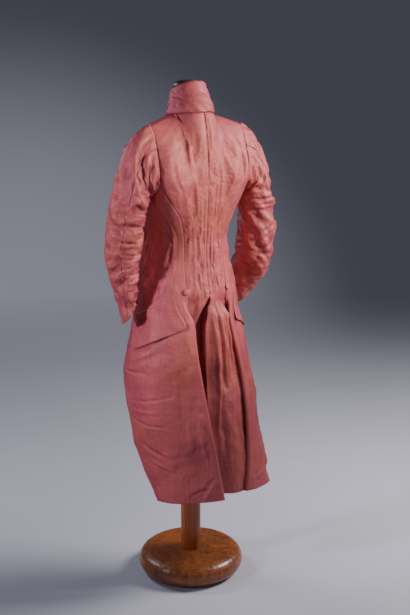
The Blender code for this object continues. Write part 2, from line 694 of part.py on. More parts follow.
def build_form():
    mesh = bpy.data.meshes.new("form_torso")
    bm = bmesh.new()
    rows = []
    for i in range(YOKE_ROWS):
        s = 1 - i / YOKE_ROWS
        rows.append(form_ring(form_half(s), FORM_SHRINK + 0.001 * (1 - s), FORM_DROP * s))
    base = form_half(0.0)
    for z, inset in FORM_LEVELS:
        level = []
        for point in base:
            angle = math.degrees(math.atan2(point.x, point.y))
            scale = 1.0 if z >= CHEST else radius("left", angle, z) / radius("left", angle, CHEST)
            level.append(Vector((point.x * scale, point.y * scale, z)))
        rows.append(form_ring(level, inset, 0.0))
    neck = list(range(NECK_BACK_COLUMNS + 1))
    half_count = len(base) - 1
    front_neck = list(range(half_count - NECK_FRONT_COLUMNS, half_count + 1))
    ring = neck + front_neck
    total = 2 * half_count
    ring_index = ring + [total - i for i in reversed(ring[1:-1])]
    made = [[bm.verts.new(p) for p in row] for row in rows]
    for upper, lower in zip(made, made[1:]):
        for k in range(total):
            n = (k + 1) % total
            bm.faces.new((upper[k], lower[k], lower[n], upper[n]))
    top = [made[0][i % total] for i in ring_index]
    levels = ((0.0095, 0.004), (0.0175, 0.030), (0.0280, 0.060))
    previous = top
    for inset, up in levels:
        level = []
        lean = NECK_LEAN * smooth(up / levels[-1][1])
        for i in ring_index:
            base_point = rows[0][i % total]
            z = NECK_TOP if up > 0.05 else base_point.z + up
            point = shrunk(Vector((base_point.x, base_point.y, z)), inset - FORM_SHRINK)
            level.append(bm.verts.new(point - Vector((0, lean, 0))))
        for k in range(len(level)):
            n = (k + 1) % len(level)
            bm.faces.new((level[k], previous[k], previous[n], level[n]))
        previous = level
    bm.faces.new(previous)
    bm.faces.new(made[-1][::-1])
    bmesh.ops.remove_doubles(bm, verts=bm.verts, dist=0.0001)
    bmesh.ops.dissolve_degenerate(bm, edges=bm.edges, dist=0.00001)
    bmesh.ops.recalc_face_normals(bm, faces=bm.faces)
    bm.to_mesh(mesh)
    bm.free()
    mesh.shade_smooth()
    mesh.materials.append(linen("form_torso"))
    made_object = bpy.data.objects.new("form_torso", mesh)
    COAT.objects.link(made_object)


def build_stand():
    edge = BASE_HEIGHT / 2
    profile = [(0.0, BASE_HEIGHT), (BASE_RADIUS - edge, BASE_HEIGHT)]
    for k in range(1, 12):
        a = math.pi * k / 12
        profile.append((BASE_RADIUS - edge + edge * math.sin(a), edge + edge * math.cos(a)))
    profile += [(BASE_RADIUS - edge, 0.0), (0.0, 0.0)]
    turned("base", profile, wood, 48)
    bottom, top = BASE_HEIGHT + SEAM, FORM_LEVELS[-1][0] - SEAM
    turned("post", [(0.0, top), (POST_RADIUS, top), (POST_RADIUS, bottom), (0.0, bottom)], wood, 32)
    low = NECK_TOP + SEAM
    shares = ((0.0, 1.0), (0.45, 0.93), (0.75, 0.75), (0.94, 0.48), (1.0, 0.22), (0.96, 0.0), (0.0, 0.0))
    cap = [(r * CAP_RADIUS, low + z * CAP_HEIGHT) for r, z in shares]
    turned("neck_cap", cap, dark_wood, 32, Matrix.Translation((0, -NECK_LEAN, 0)))


for half in ("left", "right"):
    build_back(half)
    build_front(half)
    build_sleeve(half)
    build_flap(half)
    build_button(half)
build_collar()
build_form()
build_stand()
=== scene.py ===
from math import atan2, ceil, cos, degrees, exp, hypot, pi, radians, sin, sqrt

import bmesh
import bpy
import numpy as np
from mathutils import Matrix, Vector


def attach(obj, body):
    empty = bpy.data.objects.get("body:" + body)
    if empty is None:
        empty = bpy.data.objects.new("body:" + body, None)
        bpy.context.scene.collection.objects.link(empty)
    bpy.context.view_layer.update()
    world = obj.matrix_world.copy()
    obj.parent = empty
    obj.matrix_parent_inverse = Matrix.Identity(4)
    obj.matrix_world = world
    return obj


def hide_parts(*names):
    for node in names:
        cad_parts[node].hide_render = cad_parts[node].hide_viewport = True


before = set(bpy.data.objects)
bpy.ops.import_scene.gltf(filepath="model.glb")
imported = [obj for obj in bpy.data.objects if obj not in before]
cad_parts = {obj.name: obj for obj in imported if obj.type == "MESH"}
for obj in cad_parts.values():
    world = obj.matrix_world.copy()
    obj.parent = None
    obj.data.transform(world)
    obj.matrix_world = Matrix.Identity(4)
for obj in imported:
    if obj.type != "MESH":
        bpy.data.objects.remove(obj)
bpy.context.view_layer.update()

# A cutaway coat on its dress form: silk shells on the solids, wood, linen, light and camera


def metres(table):
    """Rows given in millimetres."""
    return tuple(tuple(value / 1000 for value in row) for row in table)


# Driving dimensions, in metres where nothing else is said
SEAM = 0.0003  # gap between two pieces at a seam

HEM = 0.296  # hem above the floor
PLEAT_HEAD = 0.926  # the hip buttons, where the side pleats open
VENT_TOP = 0.924
CHEST = 1.269  # level where the side-back seam leaves the armhole
WAIST = 1.094
ARMHOLE_DROP = 0.046  # how far the armhole dips below that level

# Sections of the coat in millimetres: height, then the distance from the axis at each station,
# which is an angle from the centre back
STATIONS = (0, 30, 60, 90, 120, 150, 180)
BODICE = metres((
    (1269, 99, 114, 181, 166, 146, 135, 125),
    (1206, 96, 109, 155, 157, 146, 138, 130),
    (1154, 92, 101, 129, 142, 146, 142, 137),
    (1094, 88, 93, 109, 130, 147, 147, 145),
    (1004, 90, 97, 121, 145, 156, 152, 150),
    (926, 104, 112, 139, 158, 167, 157, 152),
))
LEFT_SKIRT = metres((
    (834, 128, 136, 160, 172, 178, 168, 160),
    (684, 160, 166, 186, 200, 207, 190, 175),
    (484, 178, 178, 188, 198, 203, 195, 180),
    (296, 183, 172, 178, 188, 195, 190, 180),
))
RIGHT_SKIRT = metres((
    (834, 128, 136, 161, 170, 172, 165, 160),
    (684, 150, 168, 188, 193, 194, 182, 175),
    (484, 150, 188, 223, 215, 202, 190, 180),
    (296, 145, 195, 262, 250, 212, 190, 180),
))

# Seam and edge lines: angle from the centre back at each height
SIDE_BACK_SEAM = ((1.269, 61.5), (1.221, 58.5), (1.164, 48.5), (1.099, 45), (0.991, 42.5), (0.926, 37.5))
FRONT_EDGE_TOP = ((1.269, 179.4), (1.134, 179.4), (1.054, 176), (0.954, 165), (0.854, 151), (0.764, 138))
FRONT_EDGE = {
    "left": FRONT_EDGE_TOP + (
        (0.669, 123), (0.587, 111), (0.504, 100), (0.447, 90.5), (0.352, 79), (0.296, 69),
    ),
    "right": FRONT_EDGE_TOP + (
        (0.669, 122), (0.587, 109), (0.504, 96), (0.447, 86), (0.352, 69), (0.296, 55),
    ),
}

# Skirt pleats: height, angle of the outer fold, overlap under it, space between layers,
# angle of the back panel's vent edge, and how far that edge lies inside the section
PLEAT_COLUMNS = ("height", "fold", "overlap", "layer", "vent_edge", "vent_inset")
PLEATS = {
    "left": (
        (0.926, 38, 0, 0.006, 0, 0), (0.872, 31.5, 0.026, 0.009, 15, 0.014),
        (0.78, 28.5, 0.05, 0.011, 25, 0.026), (0.669, 22.5, 0.065, 0.011, 24, 0.026),
        (0.484, 12, 0.07, 0.011, 14, 0.026), (0.296, 0, 0.072, 0.01, 2, 0.024),
    ),
    "right": (
        (0.926, 38, 0, 0.006, 0, 0), (0.872, 34, 0.026, 0.009, -6, 0),
        (0.78, 34, 0.036, 0.011, -11, 0), (0.669, 36, 0.034, 0.012, -12, 0),
        (0.484, 36, 0.028, 0.012, -8, 0.002), (0.296, 32, 0.026, 0.012, 3, 0.004),
    ),
}
UNDERLAP = ((0.002, 0.014), (0.0045, 0.034), (0.026, 0.043))  # past the right vent edge: reach and inset

# Lattice counts and levels
TOP_COLUMNS = 4  # across half the neck's back or front, and across a shoulder
SIDE_COLUMNS = 5
YOKE_ROWS = 6
YOKE_LIP = 0.99
BODICE_LEVELS = (1.269, 1.237, 1.206, 1.154, 1.094, 1.044, 0.991, 0.954, 0.938, 0.926)
SKIRT_LEVELS = (0.918, 0.914, 0.91, 0.902, 0.892, 0.882, 0.872, 0.854, 0.829, 0.804, 0.78, 0.724,
                0.669, 0.579, 0.484, 0.389, HEM)
PLEAT_STEPS = 6  # strips of the front panel that make its pleat
PLEAT_FLAT = 0.014  # width that the pleat's columns take above its head
PLEAT_SEAM_STEP = 0.0008  # how far apart the two edges lie at the seam inside a pleat

# Neck seam and shoulder seam
NECK_BACK = Vector((0.0, 0.0715, 1.464))
NECK_SIDE = Vector((0.064, 0.006, 1.458))
NECK_FRONT = Vector((0.0, -0.066, 1.406))
SHOULDER = Vector((0.16, 0.034, 1.428))
ARMHOLE_FRONT_ANGLE = 102.0
# Angles at chest level of the columns, through the one below the neck's corner
CORNERS = (0, TOP_COLUMNS, 2 * TOP_COLUMNS)
BACK_ANGLES = np.interp(range(2 * TOP_COLUMNS + 1), CORNERS, (0, 34, SIDE_BACK_SEAM[0][1]))
FRONT_ANGLES = np.interp(range(2 * TOP_COLUMNS + 1), CORNERS,
                         (ARMHOLE_FRONT_ANGLE, 149, FRONT_EDGE_TOP[0][1]))

SIGN = {"left": 1.0, "right": -1.0}


def smooth(t):
    t = np.clip(t, 0, 1)
    return t * t * (3 - 2 * t)


def step(x, low, high):
    return smooth((x - low) / (high - low))


def hermite(p0, p1, t0, t1, s):
    return (p0 * (2 * s**3 - 3 * s**2 + 1) + t0 * (s**3 - 2 * s**2 + s)
            + p1 * (3 * s**2 - 2 * s**3) + t1 * (s**3 - s**2))


def cubic(points, x):
    """Smooth curve through (x, y) points, flat beyond the ends."""
    points = sorted(points)
    if x <= points[0][0]:
        return points[0][1]
    if x >= points[-1][0]:
        return points[-1][1]
    last = len(points) - 1
    i = max(k for k in range(last) if points[k][0] <= x)
    (x0, y0), (x1, y1) = points[i], points[i + 1]

    def slope(k):
        a, b = points[max(k - 1, 0)], points[min(k + 1, last)]
        return (b[1] - a[1]) / (b[0] - a[0])

    h = x1 - x0
    return hermite(y0, y1, slope(i) * h, slope(i + 1) * h, (x - x0) / h)


def column(table, index):
    return [(row[0], row[index]) for row in table]


def radius(side, angle, z):
    """Distance of the coat's outside from the axis."""
    table = BODICE + (LEFT_SKIRT if side == "left" else RIGHT_SKIRT)
    at = [(a, cubic(column(table, k + 1), z)) for k, a in enumerate(STATIONS)]
    return cubic([(-at[1][0], at[1][1])] + at + [(360 - at[-2][0], at[-2][1])], abs(angle))


def polar(side, angle, z, inset=0.0):
    r = radius(side, angle, z) - inset
    a = radians(angle)
    return Vector((SIGN[side] * r * sin(a), r * cos(a), z))


def mirrored(side, point):
    return Vector((SIGN[side] * point.x, point.y, point.z))


def neck_line(t):
    """Neck seam of the left half: 0 at the centre back, 1 at the shoulder seam, 2 at the centre front."""
    a = radians(90 * t)
    across, along = sin(a), abs(cos(a))
    end, drop = (NECK_BACK, along) if t <= 1 else (NECK_FRONT, 1 - across)
    return Vector((NECK_SIDE.x * across,
                   NECK_SIDE.y + (end.y - NECK_SIDE.y) * along,
                   NECK_SIDE.z + (end.z - NECK_SIDE.z) * drop))


def yoke(base, top, top_tangent, s):
    """A curve from the chest level up and over to the neck or shoulder seam."""
    rise = Vector((0, 0, top.z - base.z))
    return hermite(base, top, rise * 1.1, top_tangent, s)


def back_top(k):
    """Seam point and tangent above column k of the back."""
    share = k / TOP_COLUMNS
    if share <= 1:
        return neck_line(share), Vector((0, -0.04, 0.07)).lerp(Vector((0, -0.1, 0)), share)
    return NECK_SIDE.lerp(SHOULDER, share - 1), Vector((0, -0.1 + 0.045 * (share - 1), 0))


def front_top(k):
    """Seam point and tangent above column k of the front, counted from the armhole."""
    share = k / TOP_COLUMNS
    if share <= 1:
        return NECK_SIDE.lerp(SHOULDER, 1 - share), Vector((0, 0.1 + 0.05 * (1 - share), 0))
    return neck_line(share), Vector((0, 0.1, 0)).lerp(Vector((0, 0.04, 0.08)), share - 1)


def pleat(side, z):
    return {name: cubic(column(PLEATS[side], k), z) for k, name in enumerate(PLEAT_COLUMNS) if k}


def pleat_opening(z):
    """How far the pleat lies across and how deep it is at a height, each from 0 to 1."""
    return step(PLEAT_HEAD - z, 0.004, 0.09), step(PLEAT_HEAD - z, -0.01, 0.03)


def pleat_path(side, z):
    """Angle and inset of the front panel's columns from the seam inside the pleat to its outer fold."""
    p = pleat(side, z)
    r = radius(side, p["fold"], z)
    gap, lap = p["layer"], p["overlap"]
    folded = [(lap + gap / 2, 1.5), (lap, 1.0), (lap / 2, 1.0)]
    for a in (90, 30, -30, -90):
        folded.append((-gap / 2 * cos(radians(a)), (1 + sin(radians(a))) / 2))
    across, depth = pleat_opening(z)
    seam_angle = cubic(SIDE_BACK_SEAM, z)
    path = []
    for k, (t, layer) in enumerate(folded):
        spread = 1.5 - k / 4
        flat_angle = seam_angle + degrees(PLEAT_FLAT * k / PLEAT_STEPS / r)
        fold_angle = p["fold"] + degrees(t / r)
        path.append((flat_angle + (fold_angle - flat_angle) * across,
                     depth * (spread + (layer - spread) * across) * gap))
    return path


def seam_shift(side, z):
    """Half a seam's gap as an angle."""
    return degrees(SEAM / 2 / radius(side, cubic(SIDE_BACK_SEAM, z), z))


def front_row(side, z):
    """Points of the front panel at one level, from the side-back seam to the front edge."""
    path = pleat_path(side, z)
    angles = [(a + (seam_shift(side, z) if k == 0 else 0), inset) for k, (a, inset) in enumerate(path)]
    start = angles[-1][0]
    edge = cubic(FRONT_EDGE[side], z)
    count = SIDE_COLUMNS + 2 * TOP_COLUMNS
    top_angles = [start + (ARMHOLE_FRONT_ANGLE - start) * k / SIDE_COLUMNS for k in range(1, SIDE_COLUMNS)]
    top_angles += list(FRONT_ANGLES)
    even = smooth((CHEST - z) / (CHEST - WAIST))
    for k in range(1, count + 1):
        level = start + (edge - start) * k / count
        top = start + (top_angles[k - 1] - start) * (edge - start) / (top_angles[-1] - start)
        angles.append((top + (level - top) * even, 0.0))
    return [polar(side, a, armhole_level(a, z), inset) for a, inset in angles]


def armhole_level(angle, z):
    """Lowers the levels under the arm so that they follow the armhole."""
    start, end = SIDE_BACK_SEAM[0][1], ARMHOLE_FRONT_ANGLE
    if z <= WAIST or not start < angle < end:
        return z
    dip = ARMHOLE_DROP * sin(pi * (angle - start) / (end - start)) ** 0.6
    return z - dip * (z - WAIST) / (CHEST - WAIST)


def back_row(side, z):
    """Points of the back panel at one level, from the centre back to the side-back seam."""
    p = pleat(side, z)
    below = step(VENT_TOP - z, -0.002, 0.01)
    path = pleat_path(side, z)
    seam_angle, seam_inset = path[0]
    last_angle = seam_angle - degrees(PLEAT_FLAT / PLEAT_STEPS / radius(side, seam_angle, z))
    folded_angle = p["fold"] + degrees(p["overlap"] / radius(side, p["fold"], z))
    across, depth = pleat_opening(z)
    last_angle += (folded_angle - last_angle) * across
    last_inset = depth * 2 * p["layer"]
    centre_gap = degrees(SEAM / 2 / radius(side, 0, z))
    first_angle = centre_gap + (p["vent_edge"] - centre_gap) * below
    count = 2 * TOP_COLUMNS
    even = smooth((CHEST - z) / (CHEST - WAIST))
    points = []
    for k in range(count + 1):
        top = BACK_ANGLES[k] / BACK_ANGLES[-1]
        share = top + (k / count - top) * even
        angle = first_angle + (last_angle - first_angle) * share
        inset = p["vent_inset"] * below * (1 - share) + last_inset * smooth(share)
        points.append(polar(side, angle, z, inset))
    points.append(polar(side, seam_angle - seam_shift(side, z), z, seam_inset + depth * PLEAT_SEAM_STEP))
    if side == "right":
        lap = []
        turned = step(VENT_TOP - z, 0.01, 0.032)
        for k, (reach, depth_in) in enumerate(UNDERLAP):
            folded_in = -0.0018 * (len(UNDERLAP) - 1 - k)
            angle = first_angle - degrees((folded_in + (reach - folded_in) * turned) / radius(side, 0, z))
            lap.append(polar(side, angle, z, depth_in * step(VENT_TOP - z, 0.006, 0.022)))
        shift = degrees(0.006 * (1 - turned) / radius(side, 0, z))
        points = list(reversed(lap)) + [polar(side, first_angle + shift, z)] + points[1:]
    return points


def yoke_rows(side, bases, tops):
    """Rows above chest level, from the top down, with one close to the seam."""
    shares = [1.0, YOKE_LIP] + [1 - i / YOKE_ROWS for i in range(1, YOKE_ROWS)]
    return [[yoke(base, mirrored(side, top), tangent, s) for base, (top, tangent) in zip(bases, tops)]
            for s in shares]


# Sleeves

SLEEVE_COLUMNS = 20
UPPER_COLUMNS = 9  # of those, the ones in the upper sleeve
SLEEVE_SEAM = 14  # column of the seam along the front of the arm
HEAD_ROWS = 6  # rows from the armhole to the first ring below it
SLEEVE_GAP = 0.0006  # between the armhole's edge and the sleeve's

# Sleeve rings below the armhole, in millimetres: out, back and height of the middle, half width,
# half depth and how much lower the outer side hangs. Then how many degrees each flattened ring turns
ARMS = {
    "left": (
        (216, 19, 1234, 51, 61, 0), (227, 12, 1174, 51, 59, 0), (233, 5, 1124, 51, 57, 0),
        (236, -2, 1079, 52, 56, 0), (233, -10, 1037, 48, 53, 0), (225, -18, 996, 42, 48, 1),
        (218, -23, 952, 36, 43, 4), (211, -26, 911, 30, 39, 12), (204, -28, 872, 25, 35, 27),
    ),
    "right": (
        (224, 24, 1230, 52, 60, 0), (238, 22, 1174, 54, 60, 0), (245, 18, 1119, 55, 61, 0),
        (249, 12, 1064, 56, 63, 0), (250, 0, 1012, 55, 64, 0), (248, -26, 964, 50, 59, 0),
        (245, -58, 922, 44, 51, 0), (242, -90, 885, 39, 44, 0), (238, -120, 851, 35, 39, 0),
    ),
}
ARM_TURN = {"left": (0, 0, 0, 0, 0, 4, 10, 18, 26), "right": (0,) * 9}


def armhole_ring(side):
    """Armhole edge from the shoulder down the back, under the arm and up the front."""
    shares = [i / 24 for i in range(24)]
    back_angle = SIDE_BACK_SEAM[0][1]
    back_base = polar(side, back_angle, CHEST)
    front_base = polar(side, ARMHOLE_FRONT_ANGLE, CHEST)
    back_point, back_tangent = back_top(2 * TOP_COLUMNS)
    front_point, front_tangent = front_top(0)
    line = [yoke(back_base, mirrored(side, back_point), back_tangent, 1 - share) for share in shares]
    for share in shares:
        angle = back_angle + (ARMHOLE_FRONT_ANGLE - back_angle) * share
        line.append(polar(side, angle, armhole_level(angle, CHEST)))
    line += [yoke(front_base, mirrored(side, front_point), front_tangent, share) for share in shares]
    line = np.array([tuple(point) for point in line + line[:1]])
    run = np.concatenate([[0.0], np.cumsum(np.linalg.norm(np.diff(line, axis=0), axis=1))])
    goals = run[-1] * np.arange(SLEEVE_COLUMNS) / SLEEVE_COLUMNS
    return [Vector(point) for point in zip(*(np.interp(goals, run, line[:, axis]) for axis in range(3)))]


def arm_rings(side):
    """Direction and ring of points for each row of the arm's table."""
    rows = metres(ARMS[side])
    middles = [Vector((SIGN[side] * row[0], row[1], row[2])) for row in rows]
    rings = []
    for i, (_, _, _, wide, deep, hang) in enumerate(rows):
        direction = (middles[min(i + 1, len(rows) - 1)] - middles[max(i - 1, 0)]).normalized()
        out = Vector((SIGN[side], 0, 0))
        out = (out - direction * out.dot(direction)).normalized()
        back = out.cross(direction) * SIGN[side]
        back = back if back.y > 0 else -back
        turn = radians(ARM_TURN[side][i])
        c, s = cos(turn), sin(turn)
        ring = []
        for k in range(SLEEVE_COLUMNS):
            a = 2 * pi * k / SLEEVE_COLUMNS
            narrow = wide * (cos(a) * c - sin(a) * s)
            long = deep * (cos(a) * s + sin(a) * c)
            ring.append(middles[i] + out * (narrow * c + long * s) + back * (long * c - narrow * s)
                        + direction * (hang * narrow / wide))
        rings.append((direction, ring))
    return rings


def sleeve_rows(side):
    hole = armhole_ring(side)
    rings = arm_rings(side)
    direction, first = rings[0]
    rows = []
    for i in range(HEAD_ROWS):
        row = []
        for start, end in zip(hole, first):
            start = start + Vector((SIGN[side] * SLEEVE_GAP, 0, 0))
            reach = (end - start).length
            out = Vector((SIGN[side], 0, -0.15)) * reach * 0.95
            row.append(hermite(start, end, out, direction * reach * 1.1, i / HEAD_ROWS))
        rows.append(row)
    return rows + [ring for _, ring in rings]


# Collar

COLLAR_STEPS = 7  # columns on each half; 8 would be the centre front
# Section of the collar from its seam up the stand and down the fall: outwards and upwards
COLLAR_PROFILE = ((0.0, 0.0012), (-0.0065, 0.024), (-0.014, 0.052), (-0.0195, 0.076), (-0.019, 0.0835),
                  (-0.016, 0.0858), (-0.0125, 0.083), (-0.01, 0.068), (-0.003, 0.042), (0.0045, 0.016),
                  (0.0108, -0.0003))
NECK_LEAN = 0.012  # how far the top of the neck and collar leans forward


def collar_frame(t):
    """Point on the neck seam, its outward direction and how high the collar stands there."""
    half = abs(t)
    point = neck_line(half)
    ahead = neck_line(min(half + 0.02, 2.0)) - neck_line(max(half - 0.02, 0.0))
    out = Vector((-ahead.y, ahead.x, 0)).normalized() if half > 0.001 else Vector((0, 1, 0))
    if t < 0:
        point, out = mirrored("right", point), mirrored("right", out)
    return point, out, 1.0 - 0.3 * smooth(half / 1.9)


# Pocket flaps and hip buttons

FLAP_COLUMNS = (PLEAT_STEPS + 1, PLEAT_STEPS + 8)  # of the front panel
FLAP_TOP = (0.918, 0.862)  # height at its back end and front end
FLAP_BOTTOM = (0.837, 0.76)

BUTTON_RADIUS = 0.0095
BUTTON_THICKNESS = 0.0045


# Fine cloth from the same lattices

CELL = 0.0029  # size of the fine mesh's cells
CLOTH = 0.0009  # thickness of the shells


def steps_between(knots, cell):
    """Fine positions along knots, keeping every knot."""
    fine = [knots[0]]
    for a, b in zip(knots, knots[1:]):
        count = max(1, ceil((b - a) / cell))
        fine += [a + (b - a) * (k + 1) / count for k in range(count)]
    return np.array(fine)


def refine(values, knots, fine):
    """Smooth curves through the rows of values at the knots, read at the fine positions."""
    shape = (-1,) + (1,) * (values.ndim - 1)
    slopes = np.empty_like(values)
    slopes[1:-1] = (values[2:] - values[:-2]) / (knots[2:] - knots[:-2]).reshape(shape)
    slopes[0] = (values[1] - values[0]) / (knots[1] - knots[0])
    slopes[-1] = (values[-1] - values[-2]) / (knots[-1] - knots[-2])
    i = np.clip(np.searchsorted(knots, fine, side="right") - 1, 0, len(knots) - 2)
    h = (knots[i + 1] - knots[i]).reshape(shape)
    t = (fine - knots[i]).reshape(shape) / h
    return hermite(values[i], values[i + 1], slopes[i] * h, slopes[i + 1] * h, t)


def refine_across(grid, knots, fine):
    return refine(grid.transpose(1, 0, 2), knots, fine).transpose(1, 0, 2)


def mean_knots(grid):
    """Cumulative mean distance from row to row."""
    gaps = np.linalg.norm(np.diff(grid, axis=0), axis=-1)
    return np.concatenate([[0.0], np.cumsum(np.maximum(np.nanmean(gaps, axis=1), 1e-5))])


def as_array(rows):
    return np.array([[tuple(p) for p in row] for row in rows])


def fine_grid(grid, cell=CELL, before=0, after=0):
    """Refines a lattice both ways, and says where its columns are. The first and last ones may only steer."""
    rows = mean_knots(grid)
    grid = refine(grid, rows, steps_between(rows, cell))
    columns = mean_knots(grid.transpose(1, 0, 2))
    own = columns[before:len(columns) - after]
    fine = steps_between(own, cell)
    return refine_across(grid, columns, fine), marks_of(own, fine)


def marks_of(knots, fine):
    """Where the knots lie among the fine positions."""
    return [int(np.searchsorted(fine, knot - 1e-9)) for knot in knots]


def raised(grid, out, height):
    return grid + out * height[..., None]


def nearest(*distances):
    return np.minimum.reduce(distances)


def lengths(grid, axis):
    """Distance run along an axis of the lattice."""
    steps = np.diff(grid, axis=axis, prepend=grid.take([0], axis))
    return np.cumsum(np.linalg.norm(steps, axis=-1), axis=axis)


def normals_of(grid, inside_right):
    """Unit normals that point out of the cloth."""
    across = np.gradient(grid, axis=1)
    down = np.gradient(grid, axis=0)
    normal = np.cross(down, across) if inside_right else np.cross(across, down)
    size = np.linalg.norm(normal, axis=-1, keepdims=True)
    return normal / np.maximum(size, 1e-12)


def hashed(i, j, seed):
    value = np.sin(i * 127.1 + j * 311.7 + seed * 74.7) * 43758.5453
    return value - np.floor(value)


def noise(x, y, seed):
    """Smooth value noise from -1 to 1."""
    i, j = np.floor(x), np.floor(y)
    a, b = (share**3 * (share * (share * 6 - 15) + 10) for share in (x - i, y - j))
    top = hashed(i, j, seed) * (1 - a) + hashed(i + 1, j, seed) * a
    low = hashed(i, j + 1, seed) * (1 - a) + hashed(i + 1, j + 1, seed) * a
    return (top * (1 - b) + low * b) * 2 - 1


CRUSH_WAVES = 6


def crush(x, y, seed):
    """Crumpled taffeta: small flat facets that meet in sharp creases, about -1 to 1."""
    total = 0.0
    for k in range(CRUSH_WAVES):
        turn = pi * (k + hashed(k, 3, seed)) / CRUSH_WAVES
        pace = 0.6 + 0.9 * hashed(k, 5, seed)
        run = (x * cos(turn) + y * sin(turn)) * pace + 0.7 * noise(x * 0.45, y * 0.45, seed + 7 * k)
        share = np.clip(0.45 + 0.9 * noise(x * 0.5, y * 0.5, seed + 5 * k + 2), 0, 1)
        total = total + (4 * np.abs(run - np.round(run)) - 1) * share
    return total / sqrt(CRUSH_WAVES)


def hump(x, low, high, soft):
    """1 between low and high, 0 outside, with soft ends."""
    return step(x, low - soft, low + soft) * (1 - step(x, high - soft, high + soft))


FOLD_NARROWING = 0.7  # of the widths in the tables


def folds(s, t, table, seed):
    """Folds from a table, which gives in millimetres where both ends lie on the cloth, then width,
    depth (over 0 a ridge, under 0 a trough) and bow."""
    total = np.zeros_like(s)
    for k, (s0, t0, s1, t1, width, depth, bow) in enumerate(metres(table)):
        width *= FOLD_NARROWING
        ds, dt = s1 - s0, t1 - t0
        size = hypot(ds, dt)
        along = ((s - s0) * ds + (t - t0) * dt) / size**2
        off = ((s - s0) * dt - (t - t0) * ds) / size
        inside = np.clip(along, 0, 1)
        off = off + bow * np.sin(pi * inside) + 0.25 * width * noise(along * 3.1, off * 0 + k, seed + k)
        past = np.maximum(np.maximum(-along, along - 1), 0) * size
        taper = np.sin(pi * np.clip(along * 0.92 + 0.04, 0, 1)) ** 0.6 * np.exp(-(past / width) ** 2)
        lean = np.where(off > 0, 0.75, 1.35)
        core = np.exp(-np.abs(off * lean / width) ** 1.1)
        shoulders = np.exp(-((np.abs(off) - 1.7 * width) / width) ** 2)
        uneven = 0.75 + 0.35 * noise(along * 4.3, off * 0 + 5.5, seed + 31 + k)
        total += depth * taper * uneven * (core - 0.28 * shoulders)
    return total


def seam_roll(distance):
    """Cloth turning in at a sewn edge."""
    return -0.0009 * np.exp(-(distance / 0.0022) ** 2)


def pucker(distance, run, seed, size=0.0013, reach=0.014, pitch=0.008):
    """Small gathers that run out from a seam."""
    near = np.exp(-distance / reach) - np.exp(-distance / 0.003)
    return size * near * noise(run / pitch, distance / 0.03, seed)


def linked(name, data):
    thing = bpy.data.objects.new(name, data)
    bpy.context.scene.collection.objects.link(thing)
    return thing


def cloth_piece(name, grid, flip, edges, material, crease, weave):
    """A shell from a fine lattice. edges holds the distance to the nearest seam or edge, crease the
    height of the folds and weave the runs along both threads."""
    rows, columns = grid.shape[:2]
    mesh = bpy.data.meshes.new(name)
    index = np.arange(rows * columns).reshape(rows, columns)
    corners = index[:-1, :-1], index[1:, :-1], index[1:, 1:], index[:-1, 1:]
    quads = np.stack(corners, axis=-1).reshape(-1, 4)
    if flip:
        quads = quads[:, ::-1]
    used = np.zeros(rows * columns, bool)
    quads = quads[~np.isnan(grid[..., 0].reshape(-1)[quads]).any(axis=1)]
    used[quads.reshape(-1)] = True
    quads = (np.cumsum(used) - 1)[quads]
    points = grid.reshape(-1, 3)[used]
    mesh.from_pydata(points.tolist(), [], quads.tolist())
    u, v = (np.nan_to_num(run).reshape(-1)[used] for run in weave)
    layer = mesh.uv_layers.new(name="weave")
    uv = np.stack([u, v], axis=-1)[quads.reshape(-1)]
    layer.data.foreach_set("uv", uv.astype(np.float32).reshape(-1))
    for label, values in (("edge", edges), ("fold", crease)):
        attribute = mesh.attributes.new(label, "FLOAT", "POINT")
        attribute.data.foreach_set("value", np.nan_to_num(values).reshape(-1)[used].astype(np.float32))
    mesh.shade_smooth()
    piece = linked(name, mesh)
    solid = piece.modifiers.new("Thickness", "SOLIDIFY")
    solid.thickness = CLOTH
    solid.offset = -1.0
    mesh.materials.append(material)
    return piece


def seat(piece, node):
    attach(piece, "root")
    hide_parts(node)


def declare(piece, node):
    seat(piece, node)


# Lattices of the solids

def back_lattice(side):
    rows = [back_row(side, z) for z in BODICE_LEVELS + SKIRT_LEVELS]
    count = len(BACK_ANGLES) - 1
    lap = [] if side == "left" else [0.05, 0.1, 0.15]
    positions = [0] + lap + list(range(1, count + 1)) + [count]
    gap = Vector((0, SEAM / 2, 0))
    tops = [back_top(k) for k in positions]
    tops = [(top + gap if k > TOP_COLUMNS else top, tangent) for k, (top, tangent) in zip(positions, tops)]
    tops[0] = (tops[0][0] + Vector((SEAM / 2, 0, 0)), tops[0][1])
    tops[-2] = (tops[-1][0].lerp(NECK_SIDE, 0.02), tops[-1][1])
    return as_array(yoke_rows(side, rows[0], tops) + rows)


def front_lattice(side):
    """Rows above and below the chest level, and the first column of the upper ones."""
    rows = [front_row(side, z) for z in BODICE_LEVELS + SKIRT_LEVELS]
    start = PLEAT_STEPS + SIDE_COLUMNS
    tops = [front_top(k) for k in range(2 * TOP_COLUMNS + 1)]
    gap = Vector((0, SEAM / 2, 0))
    tops = [(top - gap if k <= TOP_COLUMNS else top, tangent) for k, (top, tangent) in enumerate(tops)]
    tops[-1] = (tops[-1][0] + Vector((0.0012, 0, 0)), tops[-1][1])
    return as_array(yoke_rows(side, rows[0][start:], tops)), as_array(rows), start


